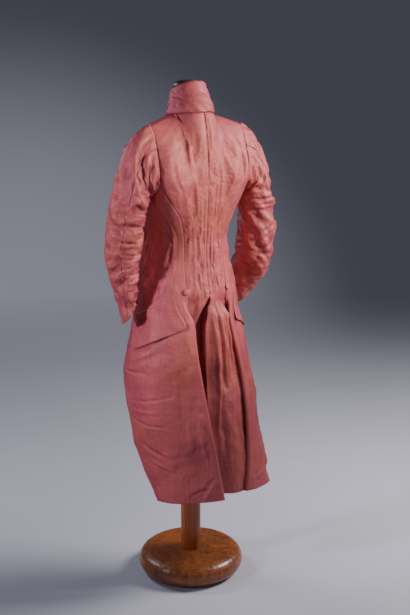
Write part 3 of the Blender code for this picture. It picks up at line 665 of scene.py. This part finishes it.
def fine_front(side):
    """Fine lattice of a front panel (nan where the armhole is), its chest row and its columns' places."""
    upper, lower, start = front_lattice(side)
    tall = np.concatenate([upper, lower[:, start:]], axis=0)
    tall_knots = mean_knots(tall)
    knots = tall_knots[len(upper):]
    fine_low = steps_between(knots, CELL)
    fine_high = steps_between(tall_knots[:len(upper) + 1], CELL)[:-1]
    low_left = refine(lower[:, :start], knots - knots[0], fine_low - knots[0])
    low = np.concatenate([low_left, refine(tall, tall_knots, fine_low)], axis=1)
    columns = mean_knots(low.transpose(1, 0, 2))
    fine_columns = steps_between(columns, CELL)
    marks = marks_of(columns, fine_columns)
    first = marks[start]
    low = refine_across(low, columns, fine_columns)
    high = refine_across(refine(tall, tall_knots, fine_high), columns[start:], fine_columns[first:])
    plain = refine(tall[len(upper)][:, None], columns[start:], fine_columns[first:])[:, 0]
    fade = np.exp(-(knots[0] - fine_high) / 0.03)[:, None, None]
    high = high + (low[0, first:] - plain)[None] * fade
    hole = np.full((len(fine_high), first, 3), np.nan)
    grid = np.concatenate([np.concatenate([hole, high], axis=1), low], axis=0)
    return grid, len(fine_high), marks


def angle_of(side, grid):
    """Angle round the axis in degrees."""
    return np.degrees(np.arctan2(grid[..., 0] * SIGN[side], grid[..., 1]))


ROUND = radians(1) * 0.14  # metres for each degree round the coat, at its usual radius


def thread_runs(side, grid):
    """How far round and how low each point lies, for level and upright threads."""
    return angle_of(side, grid) * ROUND, -grid[..., 2]


# Ends given by how far round from the centre back and how high they are
BACK_FOLDS = {
    "left": (
        (34, 1420, 10, 1300, 6, -1.2, 4), (20, 1395, 4, 1320, 5, -2.4, 2),
        (72, 1440, 50, 1330, 8, -2.2, -3), (95, 1400, 62, 1240, 8, 2.8, 4),
        (128, 1330, 100, 1225, 6.5, -3.4, 4), (118, 1318, 94, 1200, 5, 2.2, 2),
        (52, 1290, 36, 1130, 6.5, -2.2, 3), (22, 1260, 20, 1110, 6, -1.8, -2),
        (38, 1180, 30, 1060, 5, 1.8, 1), (78, 1220, 66, 1140, 5, -1.6, 2),
        (14, 1080, 12, 960, 4.5, -1.5, 1), (60, 1060, 56, 955, 4.5, -1.6, -1),
    ),
    "right": (
        (12, 1410, 8, 1255, 7, -2.6, 2), (34, 1400, 30, 1290, 7, 2, -2),
        (150, 1418, 112, 1270, 8.5, -4, 5), (132, 1340, 88, 1175, 8.5, -4.6, 6),
        (112, 1330, 76, 1180, 6.5, 3, 4), (60, 1330, 48, 1150, 7, -2.4, 3),
        (40, 1250, 30, 1090, 6, -2, 2), (70, 1190, 56, 1070, 5.5, -2.2, -2),
        (18, 1140, 16, 980, 5, -1.8, 1), (50, 1060, 46, 940, 4.5, -2, 1),
        (30, 990, 34, 900, 4.5, -2, 0), (66, 1000, 70, 930, 4, -1.6, 1),
        (3, 885, 6, 500, 6, 7, 2), (23, 895, 26, 640, 8, -9, 3), (44, 895, 46, 660, 6, 6, 2),
        (60, 895, 64, 660, 7, -8, 3), (85, 880, 98, 600, 12, 8, 4),
        (0, 640, 30, 420, 11, -4, 6), (60, 560, 70, 380, 12, -3.6, 4),
    ),
}
FRONT_FOLDS = {
    "left": (
        (160, 1190, 128, 1090, 6, -2.2, 3), (200, 1170, 150, 1080, 7, -2, 4),
        (120, 1110, 118, 990, 5, -1.8, 2), (150, 1060, 160, 960, 6, 1.8, 2),
        (132, 1020, 150, 930, 5, -2, 2), (176, 1010, 190, 930, 6, -1.8, 3),
        (212, 1060, 226, 950, 7, -2.2, 4), (255, 740, 150, 805, 7.5, -3.6, 4),
        (245, 722, 160, 775, 8, 2.4, 3), (270, 690, 190, 700, 7, -2.6, 4),
        (258, 600, 120, 640, 7, -2.4, 6), (250, 570, 150, 585, 8, 2.4, 4),
        (248, 548, 140, 540, 6, -2.4, 5), (205, 480, 140, 440, 8.5, -3.6, 4),
        (185, 430, 120, 400, 7, 2.6, 3), (60, 720, 46, 420, 14, 2.8, 10),
        (110, 760, 90, 480, 18, -2.6, 10), (40, 340, 90, 318, 8, -3.4, 4),
        (20, 370, 50, 300, 8, 3.4, 3), (330, 1300, 300, 1150, 10, -2.6, 5),
        (380, 1260, 340, 1120, 11, -2.4, 6),
    ),
    "right": (
        (155, 1200, 120, 1100, 6.5, -2.6, 3), (190, 1180, 140, 1070, 7, -2.2, 4),
        (118, 1090, 116, 980, 5, -2, 2), (150, 1040, 160, 940, 6, -2, 2),
        (200, 1050, 216, 940, 7, 2.2, 4), (100, 860, 110, 560, 12, -4.4, 6),
        (135, 840, 150, 500, 14, 3.6, 8), (250, 730, 160, 790, 8, -3, 4),
        (245, 600, 130, 620, 8, -2.6, 6), (200, 480, 130, 450, 9, -3.6, 4),
        (150, 380, 100, 330, 8, 3.4, 4), (330, 1300, 300, 1150, 10, -2.6, 5),
        (380, 1240, 336, 1110, 11, -2.4, 6),
    ),
}


SKIRT_TOP = 0.86
BODICE_EASE = 0.0018  # how far the bodice's creases stand off the form
BODICE_CLOSE = 0.0026  # and the deepest that they may go
VENT_DEPTH = 0.02
PLEAT_EASE = 0.0085  # the right back's swell beside its pleat
HOLLOW_FILL = 0.016  # at most, between neck and shoulder
EASING_ROUNDS = 600
CALM_EDGE = 0.014  # creases start this far from a seam


def body_creases(side, grid, panel):
    """Folds and crumples of the coat's body, as a height above the plain surface."""
    s = angle_of(side, grid) * ROUND
    z = grid[..., 2]
    seed = {"left": 3, "right": 11}[side] + (40 if panel == "front" else 0)
    table = (BACK_FOLDS if panel == "back" else FRONT_FOLDS)[side]
    height = folds(s, z, table, seed) * (1 + 0.5 * (z < SKIRT_TOP))
    upper = hump(z, 1.16, 1.44, 0.05)
    small = hump(z, 0.93, 1.14, 0.05)
    skirt = 1 - step(z, SKIRT_TOP, SKIRT_TOP + 0.08)
    height += 0.0024 * upper * crush(s / 0.04, z / 0.2, seed + 1)
    height += 0.0022 * small * crush(s / 0.024, z / 0.09, seed + 2)
    height += 0.0028 * skirt * noise(s / 0.07 + z, z / 0.33, seed + 4)
    height += 0.0062 * skirt * crush(s / 0.17, z / 0.19 + s / 0.3, seed + 5)
    height += 0.0017 * crush(s / 0.05, z / 0.06 + s / 0.4, seed + 6)
    height += 0.0006 * crush(s / 0.017, z / 0.021, seed + 7)
    calm = 1 - 0.6 * step(z, 1.33, 1.42)
    close = np.maximum(1.35 * height * calm + BODICE_EASE, -BODICE_CLOSE)
    return height + (close - height) * step(z, 0.905, 0.955)


def sink(z):
    """How far the vent's layers lie under the left skirt's edge."""
    return VENT_DEPTH * step(-z, -0.905, -0.82) * (1 - 0.6 * step(-z, -0.6, -0.42))


def edge_distances(grid):
    """Distances to the first and last column and to the first and last row."""
    u, v = lengths(grid, 1), lengths(grid, 0)
    return u, u[:, -1:] - u, v, v[-1:] - v


def fill_hollows(grid, out, share):
    """Eases the hollows between neck and shoulders. The borders stay."""
    eased = grid.copy()
    for _ in range(EASING_ROUNDS):
        eased[1:-1, 1:-1] = (eased[:-2, 1:-1] + eased[2:, 1:-1] + eased[1:-1, :-2] + eased[1:-1, 2:]) / 4
    rise = ((eased - grid) * out).sum(axis=-1)
    return raised(grid, out, np.clip(rise, 0, HOLLOW_FILL) * share)


def build_back(side, material):
    grid, _ = fine_grid(back_lattice(side))
    first, last, top, low = edge_distances(grid)
    z = grid[..., 2]
    crease = body_creases(side, grid, "back")
    seamed = step(z, VENT_TOP - 0.01, VENT_TOP + 0.01)
    height = crease * np.clip(nearest(first, last, top) / CALM_EDGE, 0, 1)
    height += seam_roll(last) + seam_roll(top) + seam_roll(first) * seamed
    height += pucker(last, top, 5) + pucker(first, top, 6) * seamed + pucker(top, first, 7)
    past_vent = angle_of(side, grid) - np.array([[pleat(side, level)["vent_edge"]] for level in z[:, 0]])
    covered = step(last, 0.0, 0.04)
    if side == "right":
        height *= 1 - 0.85 * step(VENT_TOP - z, -0.004, 0.02) * (1 - step(first, 0.02, 0.045))
        covered = 1 - step(past_vent * ROUND, 0.004, 0.044)
    out = normals_of(grid, side == "right")
    shaped = raised(fill_hollows(grid, out, step(z, 1.29, 1.35)), out, height)
    shaped[..., 1] -= sink(z) * covered
    if side == "right":
        beside_pleat = step(last, 0.012, 0.034) * (1 - step(last, 0.05, 0.12)) * step(-z, -0.9, -0.85)
        shaped = raised(shaped, out, PLEAT_EASE * beside_pleat)
    edges = nearest(first, last, top, low)
    return cloth_piece(f"silk_back_{side}", shaped, side == "left", edges, material, crease,
                       thread_runs(side, grid))


def build_front(side, material):
    grid, chest, marks = fine_front(side)
    filled = np.nan_to_num(grid)
    first, last, top, low = edge_distances(filled)
    z = filled[..., 2]
    rows, columns = np.ogrid[:grid.shape[0], :grid.shape[1]]
    below = rows >= chest
    start, pleat_end = marks[PLEAT_STEPS + SIDE_COLUMNS], marks[PLEAT_STEPS]
    past_arm = first - first[:, start:start + 1]
    under_arm = top - top[chest:chest + 1]
    hole = np.where(columns <= start, under_arm, np.hypot(under_arm, np.maximum(past_arm, 0)))
    hole = np.where(below, hole, np.where(columns < start, 1.0, past_arm))
    crease = body_creases(side, filled, "front")
    side_seam = np.where(below, first, 1.0)
    in_pleat = (columns <= pleat_end) & below
    calm = np.where(in_pleat, 0.15, np.clip((first - first[:, pleat_end:pleat_end + 1]) / 0.02, 0.15, 1))
    calm = np.where(below, calm, 1.0)
    height = crease * calm * np.clip(nearest(hole, top) / CALM_EDGE, 0, 1)
    height += seam_roll(side_seam) * step(z, PLEAT_HEAD - 0.02, PLEAT_HEAD + 0.02)
    height += seam_roll(hole) + pucker(hole, top + first, 9, 0.0011) + seam_roll(top)
    height += pucker(np.where(in_pleat, 1.0, side_seam), top, 8) + pucker(last, top, 12, 0.001, 0.02, 0.02)
    height += pucker(low, first, 14, 0.0014, 0.02, 0.03)
    shaped = raised(grid, normals_of(filled, side == "right"), height)
    edges = nearest(side_seam, last, top, low, hole)
    piece = cloth_piece(f"silk_front_{side}", shaped, side == "left", edges, material, crease,
                        thread_runs(side, filled))
    return piece, shaped[chest:], marks


# Ends given by how far round from the top of the shoulder by the back, and how far down the arm
SLEEVE_FOLDS = {
    "left": (
        (60, 20, 130, 110, 8, -3.4, 6), (90, 10, 150, 90, 7, -3, 4),
        (30, 30, 100, 130, 7.5, 2.6, 6), (110, 30, 160, 120, 6.5, 2.8, 3),
        (75, 140, 165, 170, 9, -5.8, 6), (70, 165, 150, 150, 8, 4.4, 4),
        (50, 195, 160, 215, 7.5, -4.4, -4), (60, 220, 140, 190, 7, 3.6, 3),
        (40, 245, 150, 240, 7, -3.6, 4), (50, 275, 170, 285, 7, -4.2, 3),
        (60, 300, 160, 292, 6.5, 3.4, 3), (40, 322, 165, 318, 6, -4, -3),
        (60, 345, 150, 352, 6, -3.6, 2), (50, 372, 140, 365, 6, 2.8, 2),
        (50, 400, 150, 410, 6, -2.6, 2), (200, 250, 290, 290, 8, -3.6, 4),
        (210, 300, 280, 310, 7, -3.4, 4), (60, 450, 120, 520, 8, -2, 4),
    ),
    "right": (
        (40, 20, 110, 110, 8, -3, 5), (80, 15, 150, 100, 7, 2.6, 4),
        (20, 150, 150, 140, 8, -5, 4), (30, 175, 140, 168, 7.5, 4, 4),
        (20, 205, 120, 250, 8, -4.4, 5), (50, 225, 150, 275, 8, 3.6, 4),
        (30, 275, 130, 300, 7.5, -4.4, 3), (60, 315, 160, 305, 7, -4, 4),
        (60, 345, 170, 350, 7, 3.4, 3), (50, 370, 150, 385, 6.5, -3.6, 3),
        (180, 290, 280, 320, 8, -4.4, 4), (190, 330, 290, 350, 8, 3.6, 4),
        (200, 370, 280, 370, 7, -3.6, 4), (60, 440, 130, 500, 8, -2.2, 4),
    ),
}


def sleeve_height(side, s, t):
    """Folds on the whole sleeve, s round it and t down it."""
    seed = 21 if side == "left" else 33
    height = 1.7 * folds(s, t, SLEEVE_FOLDS[side], seed)
    elbow = hump(t, 0.13, 0.4, 0.05)
    height += 0.009 * elbow * crush(s / 0.11, t / 0.062 + s / 0.15, seed + 1)
    height += 0.008 * (1 - elbow) * crush(s / 0.075, t / 0.11 - s / 0.2, seed + 2)
    height += 0.0048 * crush(s / 0.05, t / 0.038 + s / 0.1, seed + 3)
    height += 0.0009 * crush(s / 0.017, t / 0.014, seed + 4)
    height = np.clip(height, -0.009, 0.006) * np.clip(t / 0.016, 0, 1)
    return height + seam_roll(t) + pucker(t, s, seed + 5, 0.0022, 0.025, 0.011)


def build_sleeve(side, material):
    lattice = as_array(sleeve_rows(side))
    ring = np.concatenate([lattice[:, -2:], lattice, lattice[:, :3]], axis=1)
    grid, marks = fine_grid(ring, before=2, after=2)
    around = grid.shape[1] - 1
    wrapped = np.concatenate([grid[:, -2:-1], grid, grid[:, 1:2]], axis=1)
    out = normals_of(wrapped, side == "left")[:, 1:-1]
    out[:, -1] = out[:, 0]
    s = lengths(grid, 1)
    t = lengths(grid, 0).mean(axis=1, keepdims=True) + 0 * s
    height = sleeve_height(side, s, t)
    blend = np.clip((s[:, -1:] - s) / 0.03, 0, 1)
    height = height * blend + height[:, :1] * (1 - blend)
    front_seam, back_seam = marks[SLEEVE_SEAM], marks[(SLEEVE_SEAM + UPPER_COLUMNS) % SLEEVE_COLUMNS]
    pieces = []
    for part, first, last in (("upper", front_seam, back_seam + around), ("under", back_seam, front_seam)):
        picked = [k % around for k in range(first, last + 1)]
        plain, crease = grid[:, picked], height[:, picked]
        left, right, top, low = edge_distances(plain)
        rise = crease + seam_roll(left) + seam_roll(right)
        rise += pucker(left, top, 3, 0.001) + pucker(right, top, 4, 0.001)
        shaped = raised(plain, out[:, picked], rise)
        edges = nearest(left, right, top, low)
        pieces.append(cloth_piece(f"silk_sleeve_{part}_{side}", shaped, side == "right", edges, material,
                                  crease, (s[:, picked], t[:, picked])))
    return pieces


# Ends given by how far along the collar and how far up from its seam and over
COLLAR_FOLDS = (
    (100, 150, 165, 85, 8, -2.6, 3), (80, 130, 140, 80, 7, 2.2, 4),
    (120, 145, 200, 110, 7, -2.2, 4), (230, 150, 236, 100, 5, -1.8, 1),
    (250, 155, 262, 110, 5, 1.8, 1), (290, 150, 270, 90, 7, -2.2, 3),
    (40, 140, 80, 100, 8, -2.2, 3), (330, 150, 350, 90, 8, -2.2, 3),
)


def build_collar(material):
    rows = []
    for out_by, up_by in COLLAR_PROFILE:
        row = []
        for k in range(-COLLAR_STEPS, COLLAR_STEPS + 1):
            point, out, height = collar_frame(k / TOP_COLUMNS)
            lean = NECK_LEAN * smooth(up_by / COLLAR_PROFILE[5][1])
            row.append(point + out * out_by + Vector((0, -lean, up_by * height)))
        rows.append(row)
    grid, _ = fine_grid(as_array(rows), cell=0.003)
    left, right, top, low = edge_distances(grid)
    height = 1.6 * folds(left, top, COLLAR_FOLDS, 50)
    height += 0.003 * crush(left / 0.06, top / 0.05 + left / 0.08, 51)
    height += 0.0007 * crush(left / 0.018, top / 0.018, 52)
    height *= step(top, 0.085, 0.105)
    height += pucker(top, left, 53, 0.0006) - 0.0045 * np.exp(-low / 0.012)
    shaped = raised(grid, normals_of(grid, False), height)
    edges = nearest(left, right, top, low)
    return cloth_piece("silk_collar", shaped, False, edges, material, height, (left, top))


def build_flap(side, front, marks, material):
    """The pocket flap, laid on the points of the fine front panel below the chest."""
    first, last = marks[FLAP_COLUMNS[0]], marks[FLAP_COLUMNS[1]]
    z = front[:, first:last + 1, 2]
    out = normals_of(front, side == "right")
    count = 30
    grid = np.zeros((count + 1, last - first + 1, 3))
    part = np.arange(count + 1)[:, None] / count
    for k in range(last - first + 1):
        share = k / (last - first)
        top = FLAP_TOP[0] + (FLAP_TOP[1] - FLAP_TOP[0]) * share
        bottom = FLAP_BOTTOM[0] + (FLAP_BOTTOM[1] - FLAP_BOTTOM[0]) * share
        corner = 0.004 * (exp(-share * 30) + exp(-(1 - share) * 30))
        goal = top + (bottom + corner - top) * part
        below = np.minimum(np.searchsorted(-z[:, k], -goal[:, 0]), len(z) - 1)
        above = np.maximum(below - 1, 0)
        high, low = z[above, k, None], z[below, k, None]
        mix = (high - goal) / np.maximum(high - low, 1e-6)
        lift = 0.0016 + 0.004 * part**2 + 0.0008 * noise(share * 9.0, part * 3.0, 61)
        column_of = front[:, first + k]
        grid[:, k] = column_of[above] * (1 - mix) + column_of[below] * mix + out[above, first + k] * lift
    left, right, _, low = edge_distances(grid)
    edges = nearest(left, right, low)
    rise = -0.0008 * np.exp(-(edges / 0.002) ** 2) + 0.0007 * np.exp(-((edges - 0.006) / 0.003) ** 2)
    shaped = raised(grid, normals_of(grid, side == "right"), rise)
    return cloth_piece(f"silk_flap_{side}", shaped, side == "left", edges, material, rise,
                       thread_runs(side, grid))


def build_button(side, material):
    """A covered button: a low dome whose silk is gathered at its rim."""
    z = PLEAT_HEAD + 0.014
    angle = cubic(SIDE_BACK_SEAM, z) + 1.5
    point = polar(side, angle, z)
    across = polar(side, angle + 3, z) - polar(side, angle - 3, z)
    down = polar(side, angle, z - BUTTON_RADIUS) - polar(side, angle, z + BUTTON_RADIUS)
    out = across.cross(down).normalized() * SIGN[side]
    matrix = out.to_track_quat("Z", "Y").to_matrix().to_4x4()
    matrix.translation = point + out * 0.0012
    mesh = bpy.data.meshes.new(f"silk_button_{side}")
    bm = bmesh.new()
    bmesh.ops.create_uvsphere(bm, u_segments=48, v_segments=12, radius=1.0)
    for vert in bm.verts:
        x, y, level = vert.co
        flat = max(hypot(x, y), 1e-6)
        gather = 1 + 0.02 * cos(12 * atan2(y, x)) * flat**2
        grow = BUTTON_RADIUS * gather * flat**-0.2
        vert.co = (x * grow, y * grow, BUTTON_THICKNESS * (0.5 + 0.5 * level))
    bm.transform(matrix)
    bm.to_mesh(mesh)
    bm.free()
    mesh.shade_smooth()
    mesh.materials.append(material)
    seat(linked(mesh.name, mesh), f"hip_button_{side}")


# Materials

class Nodes:
    """Short words for building the node tree of a material or the world."""

    def __init__(self, owner, coordinates="Object"):
        owner.use_nodes = True
        self.owner = owner
        self.tree = owner.node_tree
        names = ("Principled BSDF", "Background")
        self.shader = next(node for node in self.tree.nodes if node.name in names)
        self.place = self.add("ShaderNodeTexCoord").outputs[coordinates]

    def add(self, kind, **settings):
        node = self.tree.nodes.new(kind)
        for key, value in settings.items():
            setattr(node, key, value)
        return node

    def feed(self, target, value):
        if isinstance(value, bpy.types.NodeSocket):
            self.tree.links.new(value, target)
        else:
            target.default_value = value

    def put(self, **values):
        for name, value in values.items():
            self.feed(self.shader.inputs[name.replace("_", " ")], value)

    def math(self, operation, a, b=0.0):
        node = self.add("ShaderNodeMath", operation=operation)
        self.feed(node.inputs[0], a)
        self.feed(node.inputs[1], b)
        return node.outputs[0]

    def noise(self, vector, scale, detail, rough=0.5):
        """Noise at one scale, or stretched where scale holds three."""
        if isinstance(scale, tuple):
            mapping = self.add("ShaderNodeMapping")
            self.feed(mapping.inputs["Vector"], vector)
            mapping.inputs["Scale"].default_value = scale
            vector, scale = mapping.outputs[0], 1.0
        node = self.add("ShaderNodeTexNoise")
        for name, value in (("Vector", vector), ("Scale", scale), ("Detail", detail), ("Roughness", rough)):
            self.feed(node.inputs[name], value)
        return node.outputs["Fac"]

    def ramp(self, value, low, start, high, end, interpolation="LINEAR"):
        """start up to low, end from high. A number is a grey."""
        node = self.add("ShaderNodeValToRGB")
        node.color_ramp.interpolation = interpolation
        self.feed(node.inputs[0], value)
        for element, place, colour in zip(node.color_ramp.elements, (low, high), (start, end)):
            element.position = place
            element.color = (*(colour if isinstance(colour, tuple) else (colour,) * 3), 1)
        return node.outputs[0]

    def mix(self, share, a, b, blend="MIX"):
        node = self.add("ShaderNodeMix", data_type="RGBA", blend_type=blend)
        for socket, value in ((0, share), (6, a), (7, b)):
            self.feed(node.inputs[socket], (*value, 1) if isinstance(value, tuple) else value)
        return node.outputs[2]

    def bump(self, height, strength, distance, under=None):
        node = self.add("ShaderNodeBump")
        node.inputs["Strength"].default_value = strength
        node.inputs["Distance"].default_value = distance
        self.feed(node.inputs["Height"], height)
        if under is not None:
            self.feed(node.inputs["Normal"], under)
        return node.outputs[0]


ROSE = (0.365, 0.06, 0.086)
PEACH = (0.6, 0.148, 0.15)
MAUVE = (0.2, 0.028, 0.058)
BROWN = (0.35, 0.095, 0.045)


def silk_material(name, turn):
    """Changeable taffeta: a rose warp over a darker weft, with slubs, a fine rib, worn edges and painted
    shade in the crease troughs.
    """
    n = Nodes(bpy.data.materials.new(name))

    def ridges(vector, scale, detail):
        return n.math("ABSOLUTE", n.math("SUBTRACT", n.noise(vector, scale, detail), 0.5))

    def scaled(name, factor):
        stored = n.add("ShaderNodeAttribute", attribute_name=name).outputs["Fac"]
        return n.math("MULTIPLY", stored, factor)

    weave = n.add("ShaderNodeUVMap", uv_map="weave").outputs[0]
    slub = n.noise(weave, (26.0, 620.0 + turn, 1.0), 3.0, 0.55)
    thread = n.noise(weave, (900.0, 34.0, 1.0), 2.0)
    facing = n.add("ShaderNodeLayerWeight")
    facing.inputs["Blend"].default_value = 0.42
    shot = n.ramp(facing.outputs["Facing"], 0.0, PEACH, 0.85, MAUVE)
    middle = shot.node.color_ramp.elements.new(0.42)
    middle.color = (*ROSE, 1)
    brown_share = n.ramp(n.noise(n.place, 5.0, 4.0, 0.55), 0.42, 0.0, 0.7, 0.6)
    peach_share = n.ramp(n.noise(n.place, 17.0, 3.0, 0.6), 0.45, 0.0, 0.8, 0.35)
    woven = n.mix(peach_share, n.mix(brown_share, shot, BROWN), PEACH)
    slubs = n.ramp(slub, 0.3, (0.86, 0.84, 0.86), 0.72, (1.12, 1.12, 1.08))
    even = slubs.node.color_ramp.elements.new(0.5)
    even.color = (1, 1, 1, 1)
    woven = n.mix(1.0, woven, slubs, "MULTIPLY")
    threads = n.ramp(thread, 0.25, (0.9, 0.88, 0.88), 0.75, (1.08, 1.07, 1.06))
    woven = n.mix(0.8, woven, threads, "MULTIPLY")
    for stretch in ((11.0, 240.0, 1.0), (210.0, 7.0, 1.0)):
        streak = n.ramp(n.noise(weave, stretch, 3.0, 0.6), 0.3, (0.93, 0.9, 0.91), 0.7, (1.07, 1.1, 1.07))
        woven = n.mix(0.9, woven, streak, "MULTIPLY")
    # painted shade: the colour turns darker mauve in the crease troughs, where shade falls
    painted_crease_shade = n.ramp(scaled("fold", -140.0), 0.22, 0.0, 0.9, 0.38)
    rim = n.ramp(scaled("edge", 160.0), 0.0, 0.75, 0.5, 0.0)
    worn = n.math("MULTIPLY", rim, n.noise(n.place, 90.0, 3.0, 0.7))
    creases = n.bump(ridges(weave, (30.0, 12.0, 1.0), 3.0), 0.55, 0.003)
    crumples = n.bump(ridges(n.place, 46.0, 4.0), 0.45, 0.0012, creases)
    rib = n.math("ADD", slub, n.math("MULTIPLY", thread, 0.5))
    # base colour: the weave with painted shade in the creases, then lighter worn edges
    n.put(Base_Color=n.mix(worn, n.mix(painted_crease_shade, woven, MAUVE), PEACH),
          Roughness=n.ramp(n.noise(n.place, 30.0, 3.0, 0.6), 0.3, 0.46, 0.75, 0.62),
          Specular_IOR_Level=0.42, Specular_Tint=(1.0, 0.52, 0.44, 1), Anisotropic=0.35,
          Sheen_Weight=0.1, Sheen_Roughness=0.35, Sheen_Tint=(0.95, 0.52, 0.62, 1),
          Normal=n.bump(rib, 0.45, 0.0004, crumples))
    return n.owner


def wood_material(name, light, dark, gloss):
    n = Nodes(bpy.data.materials.new(name))
    bend = n.noise(n.place, (3.0, 3.0, 0.75), 3.0)
    grain = n.noise(n.place, (70.0, 70.0, 5.0), 6.0, 0.65)
    fine = n.noise(n.place, (380.0, 380.0, 16.0), 4.0, 0.6)
    mixed = n.math("ADD", n.math("MULTIPLY", grain, 0.7), n.math("MULTIPLY", bend, 0.5))
    streak = n.ramp(fine, 0.32, (0.66, 0.62, 0.6), 0.6, (1.05, 1.04, 1.02))
    n.put(Base_Color=n.mix(1.0, n.ramp(mixed, 0.4, dark, 0.72, light), streak, "MULTIPLY"),
          Roughness=n.ramp(grain, 0.3, gloss, 0.8, gloss + 0.14),
          Coat_Weight=0.2, Coat_Roughness=0.22,
          Normal=n.bump(n.math("ADD", grain, fine), 0.12, 0.0006))
    return n.owner


def linen_material(name):
    n = Nodes(bpy.data.materials.new(name))
    warp = n.noise(n.place, (700.0, 700.0, 60.0), 2.0)
    weft = n.noise(n.place, (60.0, 60.0, 900.0), 2.0)
    threads = n.math("ADD", n.math("MULTIPLY", warp, 0.5), n.math("MULTIPLY", weft, 0.5))
    tone = n.ramp(threads, 0.3, (0.52, 0.47, 0.38), 0.7, (0.78, 0.74, 0.66))
    n.put(Base_Color=n.mix(n.noise(n.place, 6.0, 3.0, 0.6), tone, (0.66, 0.6, 0.5)),
          Roughness=0.9, Normal=n.bump(threads, 0.5, 0.0006))
    return n.owner


def repaint(node, material):
    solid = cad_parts[node]
    for slot in solid.material_slots:
        slot.material = material
    if not solid.material_slots:
        solid.data.materials.append(material)


# Floor, light and camera

CAMERA_TURN = radians(35)  # round from the centre back towards the coat's left
CAMERA_YAW = radians(0.9424)
CAMERA_PITCH = radians(12.5)
CAMERA_AWAY = 2.835
CAMERA_HEIGHT = 1.497
CAMERA_LENS = 55.02
FLOOR_RADIUS = 9.0
TO_CAMERA = Vector((sin(CAMERA_TURN), cos(CAMERA_TURN), 0))
TO_RIGHT = Vector((-cos(CAMERA_TURN), sin(CAMERA_TURN), 0))
UP = Vector((0, 0, 1))


def stage_floor():
    """A round sheet of pale paper that fades out into the wall."""
    mesh = bpy.data.meshes.new("floor")
    bm = bmesh.new()
    bmesh.ops.create_circle(bm, cap_ends=True, segments=96, radius=FLOOR_RADIUS)
    bm.to_mesh(mesh)
    bm.free()
    floor = linked("floor", mesh)
    floor.location.z = -0.0005
    n = Nodes(bpy.data.materials.new("floor_paper"))
    far = n.add("ShaderNodeVectorMath", operation="LENGTH")
    n.feed(far.inputs[0], n.place)
    n.put(Base_Color=n.ramp(n.noise(n.place, 0.8, 3.0), 0.3, (0.6, 0.61, 0.68), 0.7, (0.66, 0.67, 0.74)),
          Roughness=0.8,
          Alpha=n.ramp(n.math("DIVIDE", far.outputs["Value"], FLOOR_RADIUS), 0.11, 1.0, 0.5, 0.0))
    mesh.materials.append(n.owner)


def soft_light(name, toward_camera, to_right, height, size, power, colour, aim=1.0, cone=None):
    """A light that stands so far towards the camera and to the picture's right."""
    data = bpy.data.lights.new(name, "SPOT" if cone else "AREA")
    if cone:
        data.spot_size = radians(cone)
        data.spot_blend = 1.0
        data.shadow_soft_size = size / 2
    else:
        data.size = size
    data.energy = power
    data.color = colour
    lamp = linked(name, data)
    lamp.location = TO_CAMERA * toward_camera + TO_RIGHT * to_right + UP * height
    lamp.rotation_euler = (UP * aim - lamp.location).to_track_quat("-Z", "Y").to_euler()


def light_world():
    """A wall with a patch of light low on the picture's left."""
    n = Nodes(bpy.data.worlds.new("room"), "Generated")
    slant = n.add("ShaderNodeVectorMath", operation="DOT_PRODUCT")
    n.feed(slant.inputs[0], n.place)
    slant.inputs[1].default_value = (-TO_CAMERA - TO_RIGHT * 0.2 - UP * 0.3).normalized()
    wall, patch = (0.068, 0.07, 0.092), (0.29, 0.295, 0.355)
    n.put(Color=n.ramp(slant.outputs["Value"], 0.925, wall, 1.0, patch, "EASE"), Strength=0.8)
    bpy.context.scene.world = n.owner
    soft_light("overhead", -0.5, 2.4, 2.4, 1.0, 90, (1.0, 0.96, 0.97), -0.6)
    soft_light("key", 0.62, 2.15, 1.8, 0.25, 285, (1.0, 0.92, 0.84), 1.22, 36)
    soft_light("side", 1.25, -2.05, 1.5, 0.3, 185, (0.92, 0.78, 1.0), 0.9, 44)
    soft_light("fill", 2.6, 0.2, 1.9, 1.4, 2, (0.94, 0.9, 1.0))
    soft_light("rim", -1.0, -1.9, 2.2, 0.8, 22, (0.86, 0.88, 1.0))


def place_camera():
    data = bpy.data.cameras.new("photo_camera")
    data.sensor_width = 36
    data.lens = CAMERA_LENS
    camera = linked("photo_camera", data)
    level = TO_RIGHT * sin(CAMERA_YAW) - TO_CAMERA * cos(CAMERA_YAW)
    forward = level * cos(CAMERA_PITCH) - UP * sin(CAMERA_PITCH)
    camera.location = TO_CAMERA * CAMERA_AWAY + UP * CAMERA_HEIGHT
    camera.rotation_euler = forward.to_track_quat("-Z", "Y").to_euler()
    bpy.context.scene.camera = camera


place_camera()
light_world()
stage_floor()
silk_plain = silk_material("silk_taffeta", 0.0)
silk_sleeve = silk_material("silk_taffeta_sleeves", 45.0)
for half in ("left", "right"):
    declare(build_back(half, silk_plain), f"back_{half}")
    front_piece, front_points, front_marks = build_front(half, silk_plain)
    declare(front_piece, f"front_{half}")
    flap_piece = build_flap(half, front_points, front_marks, silk_plain)
    declare(flap_piece, f"pocket_flap_{half}")
    for piece_name, sleeve_piece in zip(("upper", "under"), build_sleeve(half, silk_sleeve)):
        declare(sleeve_piece, f"sleeve_{piece_name}_{half}")
    build_button(half, silk_sleeve)
declare(build_collar(silk_sleeve), "collar")
repaint("base", wood_material("stained_wood", (0.4, 0.125, 0.028), (0.12, 0.03, 0.009), 0.3))
repaint("post", wood_material("post_wood", (0.5, 0.12, 0.012), (0.17, 0.036, 0.006), 0.34))
repaint("neck_cap", wood_material("dark_stained_wood", (0.085, 0.024, 0.009), (0.028, 0.008, 0.004), 0.38))
repaint("form_torso", linen_material("linen_cover"))
